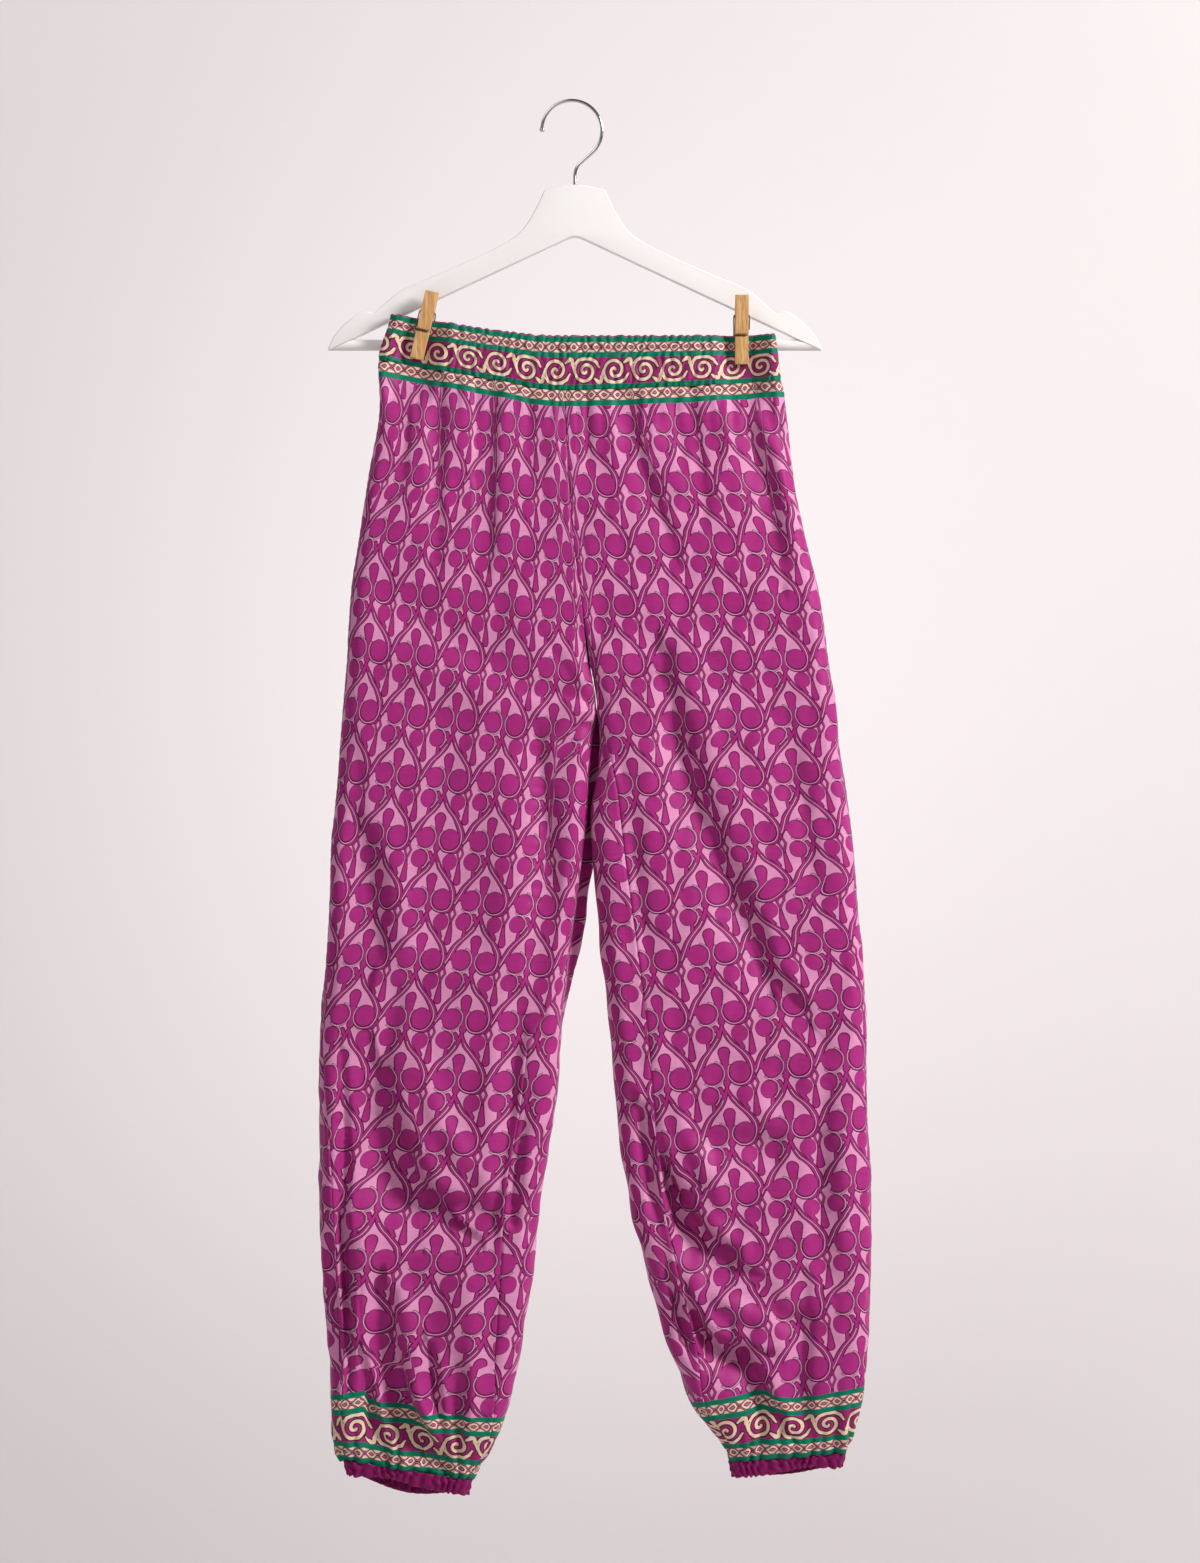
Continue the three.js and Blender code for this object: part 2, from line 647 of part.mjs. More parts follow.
function hangerHook() {
  const centreZ = hook.wire - hook.crown;
  const points = [];
  for (let degrees = 176; degrees >= -44; degrees -= 11) {
    const turn = radians(degrees);
    points.push([hook.centreX + hook.crown * Math.cos(turn), centreZ + hook.crown * Math.sin(turn)]);
  }
  points.push([7.5, -52.5], [2.2, -58], [0.3, -64], [0, -70], [0, hanger.neckZ - hook.intoWood + 1]);
  const path = new THREE.CatmullRomCurve3(points.map(([x, z]) => new THREE.Vector3(x, 0, z)));
  const section = new THREE.Shape();
  section.absarc(0, 0, hook.wire, 0, 2 * Math.PI, false);
  const wire = new THREE.ExtrudeGeometry(section, { steps: 44, curveSegments: 4, extrudePath: path });
  const ball = new THREE.SphereGeometry(hook.tipBall, 12, 8);
  ball.translate(points[0][0] + 0.3, 0, points[0][1] - 1);
  return geometryOf(solidOf(wire).add(solidOf(ball)));
}

// ---------- pegs ----------
// One wooden half, seen from the side: y grows outward from the peg's middle plane and z is along it,
// zero at the spring. Grooves hold the coil and the arm of the spring, and a hollow grips the bar.
function pegHalf() {
  const outer = peg.face + peg.thick;
  const profile = new THREE.Shape();
  profile.moveTo(outer, peg.handle);
  profile.lineTo(peg.handleEnd, peg.handle);
  profile.lineTo(peg.face + peg.grooveLip, spring.groove + 1);
  const handleTurn = Math.acos((peg.face + peg.grooveLip) / spring.groove);
  const jawTurn = Math.acos(peg.face / spring.groove);
  profile.absarc(0, 0, spring.groove, handleTurn, -jawTurn, true);
  profile.lineTo(peg.face, -spring.groove - 0.6);
  const hollowX = peg.face + pegHollow.depth - pegHollow.radius;
  const hollowTurn = Math.acos((peg.face - hollowX) / pegHollow.radius);
  profile.absarc(hollowX, pegHollow.at, pegHollow.radius, hollowTurn, -hollowTurn, true);
  profile.lineTo(peg.face, -peg.jaw + 1);
  profile.lineTo(peg.face + 1, -peg.jaw);
  profile.lineTo(outer - 0.8, -peg.jaw);
  profile.lineTo(outer, -peg.jaw + 0.8);
  profile.lineTo(outer, -spring.armAt - 1.4 * spring.armFlat);
  profile.lineTo(outer - spring.armDepth, -spring.armAt - spring.armFlat);
  profile.lineTo(outer - spring.armDepth, -spring.armAt + spring.armFlat);
  profile.lineTo(outer, -spring.armAt + 1.4 * spring.armFlat);
  const geometry = new THREE.ExtrudeGeometry(profile, {
    depth: peg.width,
    bevelEnabled: false,
    curveSegments: 7,
  });
  geometry.translate(0, 0, -peg.width / 2);
  geometry.rotateX(Math.PI / 2); // profile plane to x and z
  geometry.rotateZ(Math.PI / 2); // outward to +y, width along x
  return geometry;
}

// How far the front half is swung so that the tip of its jaw presses on the cloth.
const frontSwing = (place) => Math.asin((peg.pressY - place.y + peg.face) / (peg.jaw - 2));

// How far the back half is swung so that its hollow seats on the bar.
function backSwing(place) {
  const drop = (place.z - bar.z) / Math.cos(radians(place.lean));
  const reach = Math.hypot(place.y, drop);
  return Math.acos((peg.face - peg.barSeat) / reach) - Math.atan2(drop, -place.y);
}

// The spring: one wire from the front groove round the edge to the coil and on to the back groove.
function pegSpring(front, back) {
  const outer = peg.face + peg.thick - spring.armDepth + spring.wire + spring.overFace;
  const side = peg.width / 2 + spring.wire + spring.overEdge;
  // hand is -1 for the arm of the front half, on the left edge, and 1 for the back half's, on the right.
  const arm = (hand, angle) =>
    [
      [side, 0.45 * outer + 1.2, -0.4 * spring.armAt],
      [side, outer - 1.6, 1.8 - spring.armAt],
      [side, outer - 0.4, -spring.armAt],
      [side - 0.7, outer, -spring.armAt],
      [2.5 - side, outer, -spring.armAt],
    ].map(([x, y, z]) => {
      const turned = new THREE.Vector3(hand * x, hand * y, z);
      return turned.applyAxisAngle(new THREE.Vector3(1, 0, 0), angle);
    });
  const coil = [];
  const steps = spring.turns * 8 + 4;
  for (let i = 0; i <= steps; i++) {
    const share = i / steps;
    const turn = Math.PI * (1 - share * (2 * spring.turns + 1));
    const [y, z] = [spring.coil * Math.cos(turn), spring.coil * Math.sin(turn)];
    coil.push(new THREE.Vector3(mix(-side, side, share), y, z));
  }
  const points = [...arm(-1, front).reverse(), ...coil, ...arm(1, back)];
  const path = new THREE.CatmullRomCurve3(points, false, "centripetal");
  const section = new THREE.Shape();
  section.absarc(0, 0, spring.wire, 0, 2 * Math.PI, false);
  return new THREE.ExtrudeGeometry(section, { steps: 56, curveSegments: 3, extrudePath: path });
}

// ---------- finishes ----------
const finish = (color, roughness, metalness = 0) =>
  new THREE.MeshStandardMaterial({ color, roughness, metalness, side: THREE.FrontSide });
const printedSilk = () => finish(0xc45ba0, 0.5);
const borderSilk = () => finish(0xb08a70, 0.5);
const plainSilk = () => finish(0xa22c7c, 0.55);

const joggers = new THREE.Group();

function add(name, geometry, material, parent = joggers) {
  const mesh = new THREE.Mesh(geometry, material);
  mesh.name = name;
  parent.add(mesh);
  return mesh;
}

for (const name of ["left", "right"]) {
  add(`leg_front_${name}`, legPanel(name, -1, grid.front), printedSilk());
  add(`leg_back_${name}`, legPanel(name, 1, grid.back), printedSilk());
  add(`cuff_${name}`, cuffCasing(name), plainSilk());
}
add("waist_casing_front", waistCasing(-1), borderSilk());
add("waist_casing_back", waistCasing(1), borderSilk());
add("pocket_facing_right", pocketFacing(), plainSilk());
add("hanger_body", hangerBody(), finish(0xf2efec, 0.4));
add("hanger_bar", hangerBar(), finish(0xf2efec, 0.4));
add("hanger_hook", hangerHook(), finish(0xb9babc, 0.25, 1));

for (const [name, place] of Object.entries(pegs)) {
  const whole = new THREE.Group();
  whole.position.set(place.x, place.y, place.z);
  whole.rotation.y = radians(place.lean);
  const [front, back] = [frontSwing(place), backSwing(place)];
  const facing = { front: pegHalf().rotateZ(Math.PI), back: pegHalf() };
  add(`peg_${name}_front`, facing.front, finish(0xc99b68, 0.7), whole).rotation.x = front;
  add(`peg_${name}_back`, facing.back, finish(0xc99b68, 0.7), whole).rotation.x = back;
  add(`peg_${name}_spring`, pegSpring(front, back), finish(0x55585c, 0.35, 1), whole);
  joggers.add(whole);
}

export default joggers;
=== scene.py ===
import math

import bmesh
import bpy
import numpy as np
from mathutils import Matrix, Vector

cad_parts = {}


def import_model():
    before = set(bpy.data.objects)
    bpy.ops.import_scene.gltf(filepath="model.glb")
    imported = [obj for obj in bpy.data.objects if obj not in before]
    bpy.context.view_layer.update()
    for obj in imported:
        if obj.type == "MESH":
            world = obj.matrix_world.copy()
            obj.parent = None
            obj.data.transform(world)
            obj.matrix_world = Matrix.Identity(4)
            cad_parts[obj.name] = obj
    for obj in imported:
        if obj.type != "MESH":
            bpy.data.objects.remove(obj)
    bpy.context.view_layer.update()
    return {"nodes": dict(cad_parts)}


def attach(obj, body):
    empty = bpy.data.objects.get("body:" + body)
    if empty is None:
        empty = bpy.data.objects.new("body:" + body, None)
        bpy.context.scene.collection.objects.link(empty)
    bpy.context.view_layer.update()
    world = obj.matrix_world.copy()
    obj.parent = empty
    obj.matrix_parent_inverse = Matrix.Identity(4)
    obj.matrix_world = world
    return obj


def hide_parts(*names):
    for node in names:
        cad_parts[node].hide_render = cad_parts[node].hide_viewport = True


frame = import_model()
mm = 0.001
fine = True
print("frame loaded:", len(frame["nodes"]), "nodes")


# shape of the garment: the same tables as the solids, in millimetres
sectionColumns = ["z", "leftOuter", "leftInner", "rightInner", "rightOuter", "half"]
sections = [
    [-190, -165, -10, -10, 178.5, 5.5],
    [-235, -176, -10, -10, 182.5, 6.5],
    [-270, -174.5, -9, -9, 188, 10],
    [-337, -184.5, -5.4, -5.4, 195.5, 14],
    [-391, -192.6, -1.5, -1.5, 206, 16],
    [-445, -200.5, 5.5, 5.5, 219, 17.5],
    [-500, -203.5, 12.5, 12.5, 226.5, 18.5],
    [-546.3, -207.5, 19.7, 19.7, 232.8, 18.5],
    [-575, -209.5, 15.6, 22.4, 236, 18.5],
    [-610, -212, 13.2, 17.6, 241.5, 18.5],
    [-635, -214.5, 12, 14, 245, 19],
    [-661, -217.5, 8.8, 14.6, 248.2, 19],
    [-715, -219, 2.4, 19, 252.5, 19.5],
    [-770, -222.3, -5.4, 25, 257, 20],
    [-823, -226.5, -11, 30.2, 260.3, 20],
    [-895, -228.6, -16.5, 36.9, 261, 20.5],
    [-967, -228.6, -28.8, 45, 264.6, 21],
    [-1039, -225, -36.8, 62.1, 264.6, 21],
    [-1111, -220.5, -46.5, 83.7, 261.9, 20],
    [-1158, -218.7, -57.6, 101, 256.5, 18],
    [-1190, -216, -67, 124, 249.3, 15],
    [-1206, -211, -74, 136, 242, 12],
    [-1213, -206.5, -79, 137.5, 240.5, 11],
    [-1231, -203, -92, 139.5, 239, 10.5],
    [-1250, -201.5, -99, 140, 238.5, 10.5],
]
casingColumns = ["x", "top", "bottom"]
casingEdge = [
    [-176, -191.5, -233.5],
    [-126, -197.5, -241.5],
    [-75, -206, -250.5],
    [-15, -211.5, -260.5],
    [46, -211.5, -259],
    [112, -211.3, -256],
    [184, -209.7, -252],
]
rolledColumns = ["z", "leftOuter", "leftInner", "rightInner", "rightOuter"]
rolled = [  # millimetres of cloth that each seam is rolled to the front
    [-546.3, 0, 0, 0, 0],
    [-590, 0, 0, 22, 0],
    [-640, 0, 0, 38, 0],
    [-760, 0, 6, 44, 0],
    [-860, 13, 42, 46, 0],
    [-960, 25, 44, 44, 0],
    [-1110, 27, 36, 36, 0],
    [-1180, 18, 18, 18, 0],
    [-1240, 8, 8, 8, 0],
]
pinchColumns = ["z", "y"]
pinch = [[-190, -10.9], [-197, -10.1], [-218, -6.9], [-239, -8.0], [-262, -10], [-290, -13.5]]

garment = {
    "midY": -13.5,
    "riseTop": -260.8,
    "crotch": -546.3,
    "casingGap": 0.2,
    "wall": 0.5,  # thickness of the silk shells
    "pegHalf": 0.85,
    "flatAtPegs": 9,
    "easeAtPegs": 18,
    "easeBelowPegs": 45,
}
legEnd = {
    "left": {"outerTop": -233.8, "outer": -1213, "inner": -1231, "backSag": 9},
    "right": {"outerTop": -252.2, "outer": -1206, "inner": -1215, "backSag": 4},
}
pegPlace = {
    "left": {"x": -131.8, "y": -11.4, "z": -192, "lean": 13.4},
    "right": {"x": 149, "y": -13.2, "z": -195.5, "lean": 0},
}


# small maths
def smoothStep(t):
    t = np.clip(t, 0, 1)
    return t * t * (3 - 2 * t)


def mix(a, b, t):
    return a + (b - a) * t


# A smooth ridge, 1 where apart is 0.
def ridge(apart, width):
    return np.exp(-((apart / width) ** 2))


# A table's column as a smooth curve over its first column, flat past both ends.
def curveOf(rows, columns, name):
    table = np.array(sorted(rows), float)
    at, value = table[:, 0], table[:, columns.index(name)]
    step = np.diff(value) / np.diff(at)
    before, after = step[:-1], step[1:]
    turns = before * after <= 0
    inner = np.where(turns, 0, 2 * before * after / np.where(turns, 1, before + after))
    slope = np.concatenate([[0], inner, [0]])

    def curve(t):
        t = np.clip(t, at[0], at[-1])
        i = np.clip(np.searchsorted(at, t, side="right") - 1, 0, len(at) - 2)
        span = at[i + 1] - at[i]
        u = (t - at[i]) / span
        rest = 1 - u
        fromValues = value[i] * (1 + 2 * u) * rest**2 + value[i + 1] * u**2 * (3 - 2 * u)
        return fromValues + span * u * rest * (slope[i] * rest - slope[i + 1] * u)

    return curve


halfDepth = curveOf(sections, sectionColumns, "half")
casingTop = curveOf(casingEdge, casingColumns, "top")
casingBottom = curveOf(casingEdge, casingColumns, "bottom")
pinchY = curveOf(pinch, pinchColumns, "y")


def rollWidth(half):
    return 1.5 + 0.7 * half


def rollLength(width, half):
    return math.pi / 2 * np.sqrt((width**2 + half**2) / 2)


# A level section of the tube: place p millimetres of cloth from x0, with the x1 edge falling by fall.
def wallAt(section, p):
    x0, x1, half0, half1, fall = (section[k] for k in ("x0", "x1", "half0", "half1", "fall"))
    direction = np.sign(x1 - x0)
    width0, width1 = rollWidth(half0), rollWidth(half1)
    length0, length1 = rollLength(width0, half0), rollLength(width1, half1)
    flat = np.abs(x1 - x0) - width0 - width1
    turn0 = np.clip(p / length0, 0, 1) * math.pi / 2
    along = np.clip((p - length0) / flat, 0, 1)
    most = math.pi / 2 * (0.5 + 0.5 * fall)
    turn1 = np.clip((p - length0 - flat) / length1, 0, 1) * most
    reach = width0 * (1 - np.cos(turn0)) + flat * along + width1 * np.sin(turn1) / np.sin(most)
    drop = half1 * fall * (1 - np.cos(turn1)) / (1 - np.cos(most))
    out = np.where(turn1 > 0, half1 - drop, mix(half0, half1, along))
    out = np.where(p < length0, half0 * np.sin(turn0), out)
    return x0 + direction * reach, out


def wallLength(section):
    width0, width1 = rollWidth(section["half0"]), rollWidth(section["half1"])
    flat = np.abs(section["x1"] - section["x0"]) - width0 - width1
    return flat + rollLength(width0, section["half0"]) + rollLength(width1, section["half1"])


def pegHold(x, z):
    hold = np.zeros(np.broadcast(x, z).shape)
    for one in pegPlace.values():
        pegX = one["x"] + (z - one["z"]) * math.tan(math.radians(one["lean"]))
        near = (np.abs(x - pegX) - garment["flatAtPegs"]) / garment["easeAtPegs"]
        hold = np.maximum(hold, 1 - smoothStep(near))
    return hold * smoothStep((z - pinch[-1][0]) / garment["easeBelowPegs"])


def clothPoint(x, z, out, side):
    hold = pegHold(x, z)
    middle = mix(garment["midY"], pinchY(z), hold)
    y = middle + side * mix(out, np.minimum(out, garment["pegHalf"]), hold)
    return np.stack([x, y, z], axis=-1)


legs = {}
centreSeam = curveOf(sections, sectionColumns, "leftInner")
for legName in ("left", "right"):
    inseam = curveOf(sections, sectionColumns, legName + "Inner")
    legs[legName] = {
        **legEnd[legName],
        "outerX": curveOf(sections, sectionColumns, legName + "Outer"),
        "innerX": lambda z, inseam=inseam: np.where(z >= garment["crotch"], centreSeam(z), inseam(z)),
        "outerRoll": curveOf(rolled, rolledColumns, legName + "Outer"),
        "innerRoll": curveOf(rolled, rolledColumns, legName + "Inner"),
        "inward": 1 if legName == "left" else -1,
    }


def legSection(leg, zInner):
    riseTop, crotch, wall = garment["riseTop"], garment["crotch"], garment["wall"]
    share = (zInner - riseTop) / (leg["inner"] - riseTop)
    zOuter = mix(leg["outerTop"], leg["outer"], share)
    fall = smoothStep((riseTop - 190 - zInner) / (riseTop - 190 - crotch))
    return {
        "share": share,
        "zOuter": zOuter,
        "zInner": zInner,
        "x0": leg["outerX"](zOuter) + leg["inward"] * wall / 2,
        "x1": leg["innerX"](zInner) - leg["inward"] * wall / 2,
        "half0": halfDepth(zOuter) - wall / 2,
        "half1": halfDepth(zInner) - wall / 2,
        "fall": fall,
    }


# Points of a leg's tube, p millimetres of cloth from the outer edge on the wall of that side.
def legPoint(leg, section, p, side):
    length = wallLength(section)
    turned = (p < 0) | (p > length)
    place = np.where(p < 0, -p, np.where(p > length, 2 * length - p, p))
    wall = np.where(turned, -side, side)
    x, out = wallAt(section, place)
    across = (x - section["x0"]) / (section["x1"] - section["x0"])
    belly = (4 * across * (1 - across)) ** 2
    sag = np.where(wall > 0, leg["backSag"], 0) * belly * section["share"] ** 8
    dip = casingBottom(x) - garment["casingGap"] - mix(leg["outerTop"], garment["riseTop"], across)
    level = mix(section["zOuter"], section["zInner"], across) - sag
    z = level + dip * (1 - smoothStep(section["share"] * 9))
    point = clothPoint(x, z, out, wall)
    return {"point": point, "x": x, "z": z, "wall": wall, "out": out, "across": across}


# folds: a row for each, through three points, with its width, height and lean
# Below zero is a trough. lean moves the steep side: above zero it lies to the right going down.
foldColumns = ["x0", "z0", "x1", "z1", "x2", "z2", "width", "height", "lean"]
frontFolds = [
    # from the waistband down
    [-147, -243, -150, -290, -153, -345, 5, -2.0, 0.3],
    [-136, -240, -133, -300, -134, -360, 6, 1.2, 0],
    [-121, -246, -119, -320, -122, -420, 6, -2.8, 0.5],
    [-104, -250, -105, -290, -104, -330, 8, 1.4, 0],
    [-71, -254, -71, -320, -74, -410, 5, -2.6, 0.8],
    [-60, -256, -58, -330, -60, -420, 8, 1.4, 0],
    [-40, -258, -42, -300, -40, -340, 6, -1.4, 0],
    [-22, -260, -20, -300, -21, -350, 6, 1.0, 0],
    [8, -262, 12, -300, 14, -335, 6, -1.4, 0],
    [28, -262, 32, -290, 36, -330, 8, 1.2, 0],
    [47, -262, 54, -320, 90, -404, 6, -2.6, 0.6],
    [62, -262, 74, -320, 100, -380, 9, 1.4, 0],
    [86, -260, 92, -290, 98, -335, 5, -1.4, 0],
    [104, -260, 110, -310, 116, -372, 6, -2.0, 0.3],
    [130, -258, 134, -300, 142, -345, 8, 1.3, 0],
    [152, -256, 158, -300, 178, -350, 6, -2.2, 0.4],
    [160, -300, 176, -340, 186, -430, 7, -2.8, 0.6],
    [168, -290, 186, -330, 196, -400, 6, 1.4, 0],
    # across the hips to the crotch
    [-186, -430, -120, -470, -30, -535, 16, -1.8, -0.2],
    [-190, -480, -120, -520, -10, -560, 18, 1.8, 0],
    [-36, -470, -10, -510, 12, -541, 8, -2.2, 0.4],
    [-60, -440, -28, -490, 2, -532, 10, 1.6, 0],
    [19, -543, -6, -529, -34, -533, 5, -2.6, 0.5],
    [20, -550, 4, -540, -14, -556, 4.5, 2.6, 0],
    [16, -562, 2, -552, -12, -574, 4, -2.6, -0.5],
    [12, -520, 15, -530, 19, -541, 4, 2.0, 0],
    [20, -540, 44, -524, 78, -516, 6, -2.4, -0.3],
    [26, -556, 50, -540, 86, -540, 8, 1.6, 0],
    [120, -430, 80, -480, 34, -530, 14, -1.4, 0],
    # left leg
    [-200, -560, -188, -630, -192, -700, 10, -2.2, 0.4],
    [-186, -655, -170, -710, -176, -765, 11, -5.0, 0.6],
    [-168, -640, -150, -700, -150, -780, 12, 2.0, 0],
    [-36, -560, -22, -640, -18, -722, 9, -3.0, 0.3],
    [-28, -560, -28, -690, -41, -830, 12, -3.4, -0.3],
    [-62, -600, -60, -700, -72, -800, 16, 2.2, 0],
    [-110, -540, -118, -640, -130, -740, 16, -1.6, 0],
    [-172, -867, -152, -965, -118, -988, 12, -8.0, 0.7],
    [-160, -805, -168, -850, -180, -885, 10, -3.0, 0.2],
    [-141, -850, -122, -925, -84, -955, 12, 3.0, 0],
    [-130, -975, -96, -1000, -66, -985, 14, -3.4, 0.2],
    [-49, -800, -46, -900, -57, -1000, 8, -3.8, 0.4],
    [-74, -820, -74, -900, -80, -980, 13, 2.0, 0],
    [-206, -850, -200, -930, -204, -1010, 5, -3.0, 0.5],
    [-205, -1000, -203, -1060, -203, -1150, 6, -4.6, 0.5],
    [-188, -1010, -186, -1080, -186, -1160, 7, 2.2, 0],
    [-166, -1065, -160, -1130, -140, -1190, 8, -5.2, 0.7],
    [-150, -1060, -138, -1120, -122, -1180, 9, 2.4, 0],
    [-187, -1120, -182, -1160, -168, -1205, 5, -3.6, 0.7],
    [-152, -1148, -140, -1176, -124, -1207, 6, -3.6, 0.7],
    [-140, -1150, -128, -1178, -110, -1207, 9, 2.6, 0],
    [-130, -1110, -120, -1160, -116, -1212, 6, -3.6, 0.6],
    [-92, -1060, -92, -1130, -100, -1200, 12, 1.8, 0],
    [-98, -1130, -99, -1170, -106, -1215, 6, -3.2, 0.4],
    [-160, -740, -110, -790, -64, -790, 18, 1.6, 0],
    # right leg
    [80, -498, 96, -600, 142, -695, 10, -6.2, 0.6],
    [142, -695, 165, -750, 174, -782, 11, -6.4, 0.6],
    [104, -490, 124, -600, 168, -690, 13, 2.4, 0],
    [174, -776, 192, -800, 204, -815, 9, -4.6, 0.5],
    [70, -540, 66, -640, 78, -740, 14, 1.6, 0],
    [190, -560, 204, -640, 216, -720, 10, -2.0, 0.3],
    [46, -600, 56, -700, 62, -790, 10, -2.0, 0.2],
    [59, -900, 76, -950, 92, -980, 8, -6.4, 0.6],
    [92, -975, 106, -1010, 140, -1030, 9, -6.6, 0.6],
    [84, -890, 110, -945, 130, -980, 11, 2.6, 0],
    [120, -925, 165, -940, 210, -925, 15, -2.2, 0.2],
    [91, -1052, 104, -1092, 122, -1108, 8, -5.8, 0.6],
    [118, -1104, 140, -1120, 158, -1116, 9, -5.2, 0.5],
    [148, -1108, 160, -1140, 184, -1176, 7, -4.4, 0.6],
    [116, -1060, 150, -1080, 176, -1090, 10, 2.4, 0],
    [178, -1080, 186, -1092, 200, -1088, 9, -2.4, 0],
    [205, -1050, 202, -1120, 204, -1190, 8, -2.6, 0.3],
    [168, -1150, 166, -1170, 165, -1200, 6, -3.0, 0.3],
    [240, -820, 236, -930, 242, -1040, 9, 1.8, 0],
    [222, -850, 216, -960, 224, -1060, 10, -2.2, 0.2],
    [150, -860, 160, -900, 190, -930, 14, 1.8, 0],
]
backFolds = [
    [-150, -246, -146, -310, -148, -380, 7, -2.2, 0.3],
    [-132, -250, -136, -300, -140, -350, 8, 1.4, 0],
    [-96, -252, -98, -320, -106, -420, 6, -2.6, 0.5],
    [-60, -258, -58, -300, -62, -350, 8, -2.2, 0],
    [-30, -258, -32, -310, -30, -380, 6, -2.0, 0.3],
    [14, -262, 20, -320, 30, -400, 7, -2.4, 0.4],
    [40, -262, 44, -310, 40, -360, 9, 1.6, 0],
    [80, -258, 84, -310, 88, -380, 7, -2.2, 0.3],
    [120, -258, 124, -300, 130, -360, 9, -2.4, 0],
    [160, -258, 166, -310, 178, -390, 7, -2.2, 0.4],
    [19, -540, -10, -530, -50, -536, 7, -2.6, 0.4],
    [20, -540, 48, -528, 90, -520, 7, -2.4, 0.3],
    [-90, -560, -120, -660, -168, -740, 15, -5, 0.5],
    [-60, -600, -80, -680, -120, -760, 13, 2.2, 0],
    [-30, -620, -34, -720, -46, -830, 10, -2.8, 0],
    [110, -560, 140, -680, 190, -760, 15, -5, 0.5],
    [80, -580, 110, -680, 150, -780, 13, 2.0, 0],
    [230, -600, 236, -700, 240, -800, 9, -2.0, 0.3],
    [-176, -880, -150, -960, -110, -1000, 14, -5, 0.5],
    [-130, -860, -100, -930, -70, -960, 13, 2.4, 0],
    [80, -900, 120, -980, 170, -1010, 14, -5, 0.5],
    [130, -870, 170, -940, 220, -960, 13, 2.2, 0],
    [-180, -1040, -160, -1110, -150, -1200, 10, -4, 0.4],
    [-90, -1060, -100, -1130, -112, -1215, 10, -4, 0.4],
    [120, -1080, 160, -1130, 175, -1195, 10, -4, 0.4],
    [215, -1040, 210, -1110, 205, -1190, 10, -3.5, 0.4],
    [100, -1000, 130, -1050, 150, -1120, 12, 2.0, 0],
]


def foldHeight(folds, x, z):
    height = np.zeros(x.shape)
    share = np.linspace(0, 1, 25)
    for row in folds:
        f = dict(zip(foldColumns, row))
        reach = 3.2 * f["width"]
        xs, zs = (f["x0"], f["x1"], f["x2"]), (f["z0"], f["z1"], f["z2"])
        inX = (x > min(xs) - reach) & (x < max(xs) + reach)
        near = inX & (z > min(zs) - reach) & (z < max(zs) + reach)
        if not near.any():
            continue
        bendX = xs[0] * (1 - share) ** 2 + 2 * xs[1] * share * (1 - share) + xs[2] * share**2
        bendZ = zs[0] * (1 - share) ** 2 + 2 * zs[1] * share * (1 - share) + zs[2] * share**2
        apartX = x[near][:, None] - bendX
        apartZ = z[near][:, None] - bendZ
        distance = np.hypot(apartX, apartZ)
        closest = distance.argmin(axis=1)
        picked = np.arange(len(closest)), closest
        stepX, stepZ = np.gradient(bendX)[closest], np.gradient(bendZ)[closest]
        cross = apartZ[picked] * stepX - apartX[picked] * stepZ
        signed = np.sign(cross) * distance[picked] / f["width"]
        steep = signed * (1 + f["lean"] * np.tanh(2 * signed))
        ends = 0.25 + 0.75 * np.sin(math.pi * mix(0.1, 0.9, share[closest]))
        shoulder = 0.32 * abs(f["lean"]) * ridge(signed - 1.5 * np.sign(f["lean"]), 0.9)
        height[near] += f["height"] * ends * (ridge(steep, 1) - shoulder)
    return height


# Rounded gathers with tight valleys between them, about -1 to 1.
def roundGathers(turn):
    return 2.1 * np.sqrt(np.sin(turn) ** 2 + 0.02) - 1.35


# The same, uneven in width and height.
def unevenGathers(t, pitch, seed):
    shift = np.random.default_rng(seed).uniform(0, 2 * math.pi, 3)
    turn = 2 * math.pi * t / pitch
    drift = 0.5 * np.sin(turn / 4.7 + shift[0]) + 0.35 * np.sin(turn / 2.3 + shift[1])
    size = 0.74 + 0.26 * np.sin(turn / 3.1 + shift[2])
    return size * roundGathers((turn + drift * 2.4) / 2)


# Soft unevenness of hanging cloth: a few long waves in different directions, about -1 to 1.
def softWaves(x, z, pitch, seed):
    random = np.random.default_rng(seed)
    total = 0
    for k in range(7):
        angle, turn = random.uniform(0, math.pi), random.uniform(0, 2 * math.pi)
        long = pitch * random.uniform(0.7, 1.9)
        along = x * math.cos(angle) + z * math.sin(angle) * 0.6
        total = total + np.sin(2 * math.pi * along / long + turn)
    return total / 4


def linkMesh(name, mesh, material):
    piece = bpy.data.objects.new(name, mesh)
    bpy.context.scene.collection.objects.link(piece)
    mesh.materials.append(material)
    return piece


# cloth shells
def gridNormals(points, outward, afterFirst=None, beforeLast=None):
    if afterFirst is None:
        along = np.roll(points, -1, axis=1) - np.roll(points, 1, axis=1)
    else:
        along = np.empty_like(points)
        along[:, 1:-1] = points[:, 2:] - points[:, :-2]
        along[:, 0] = afterFirst - points[:, 0]
        along[:, -1] = points[:, -1] - beforeLast
    normal = np.cross(along, np.gradient(points, axis=0))
    normal /= np.linalg.norm(normal, axis=-1, keepdims=True)
    return np.where(np.sum(normal * outward, axis=-1, keepdims=True) < 0, -normal, normal)


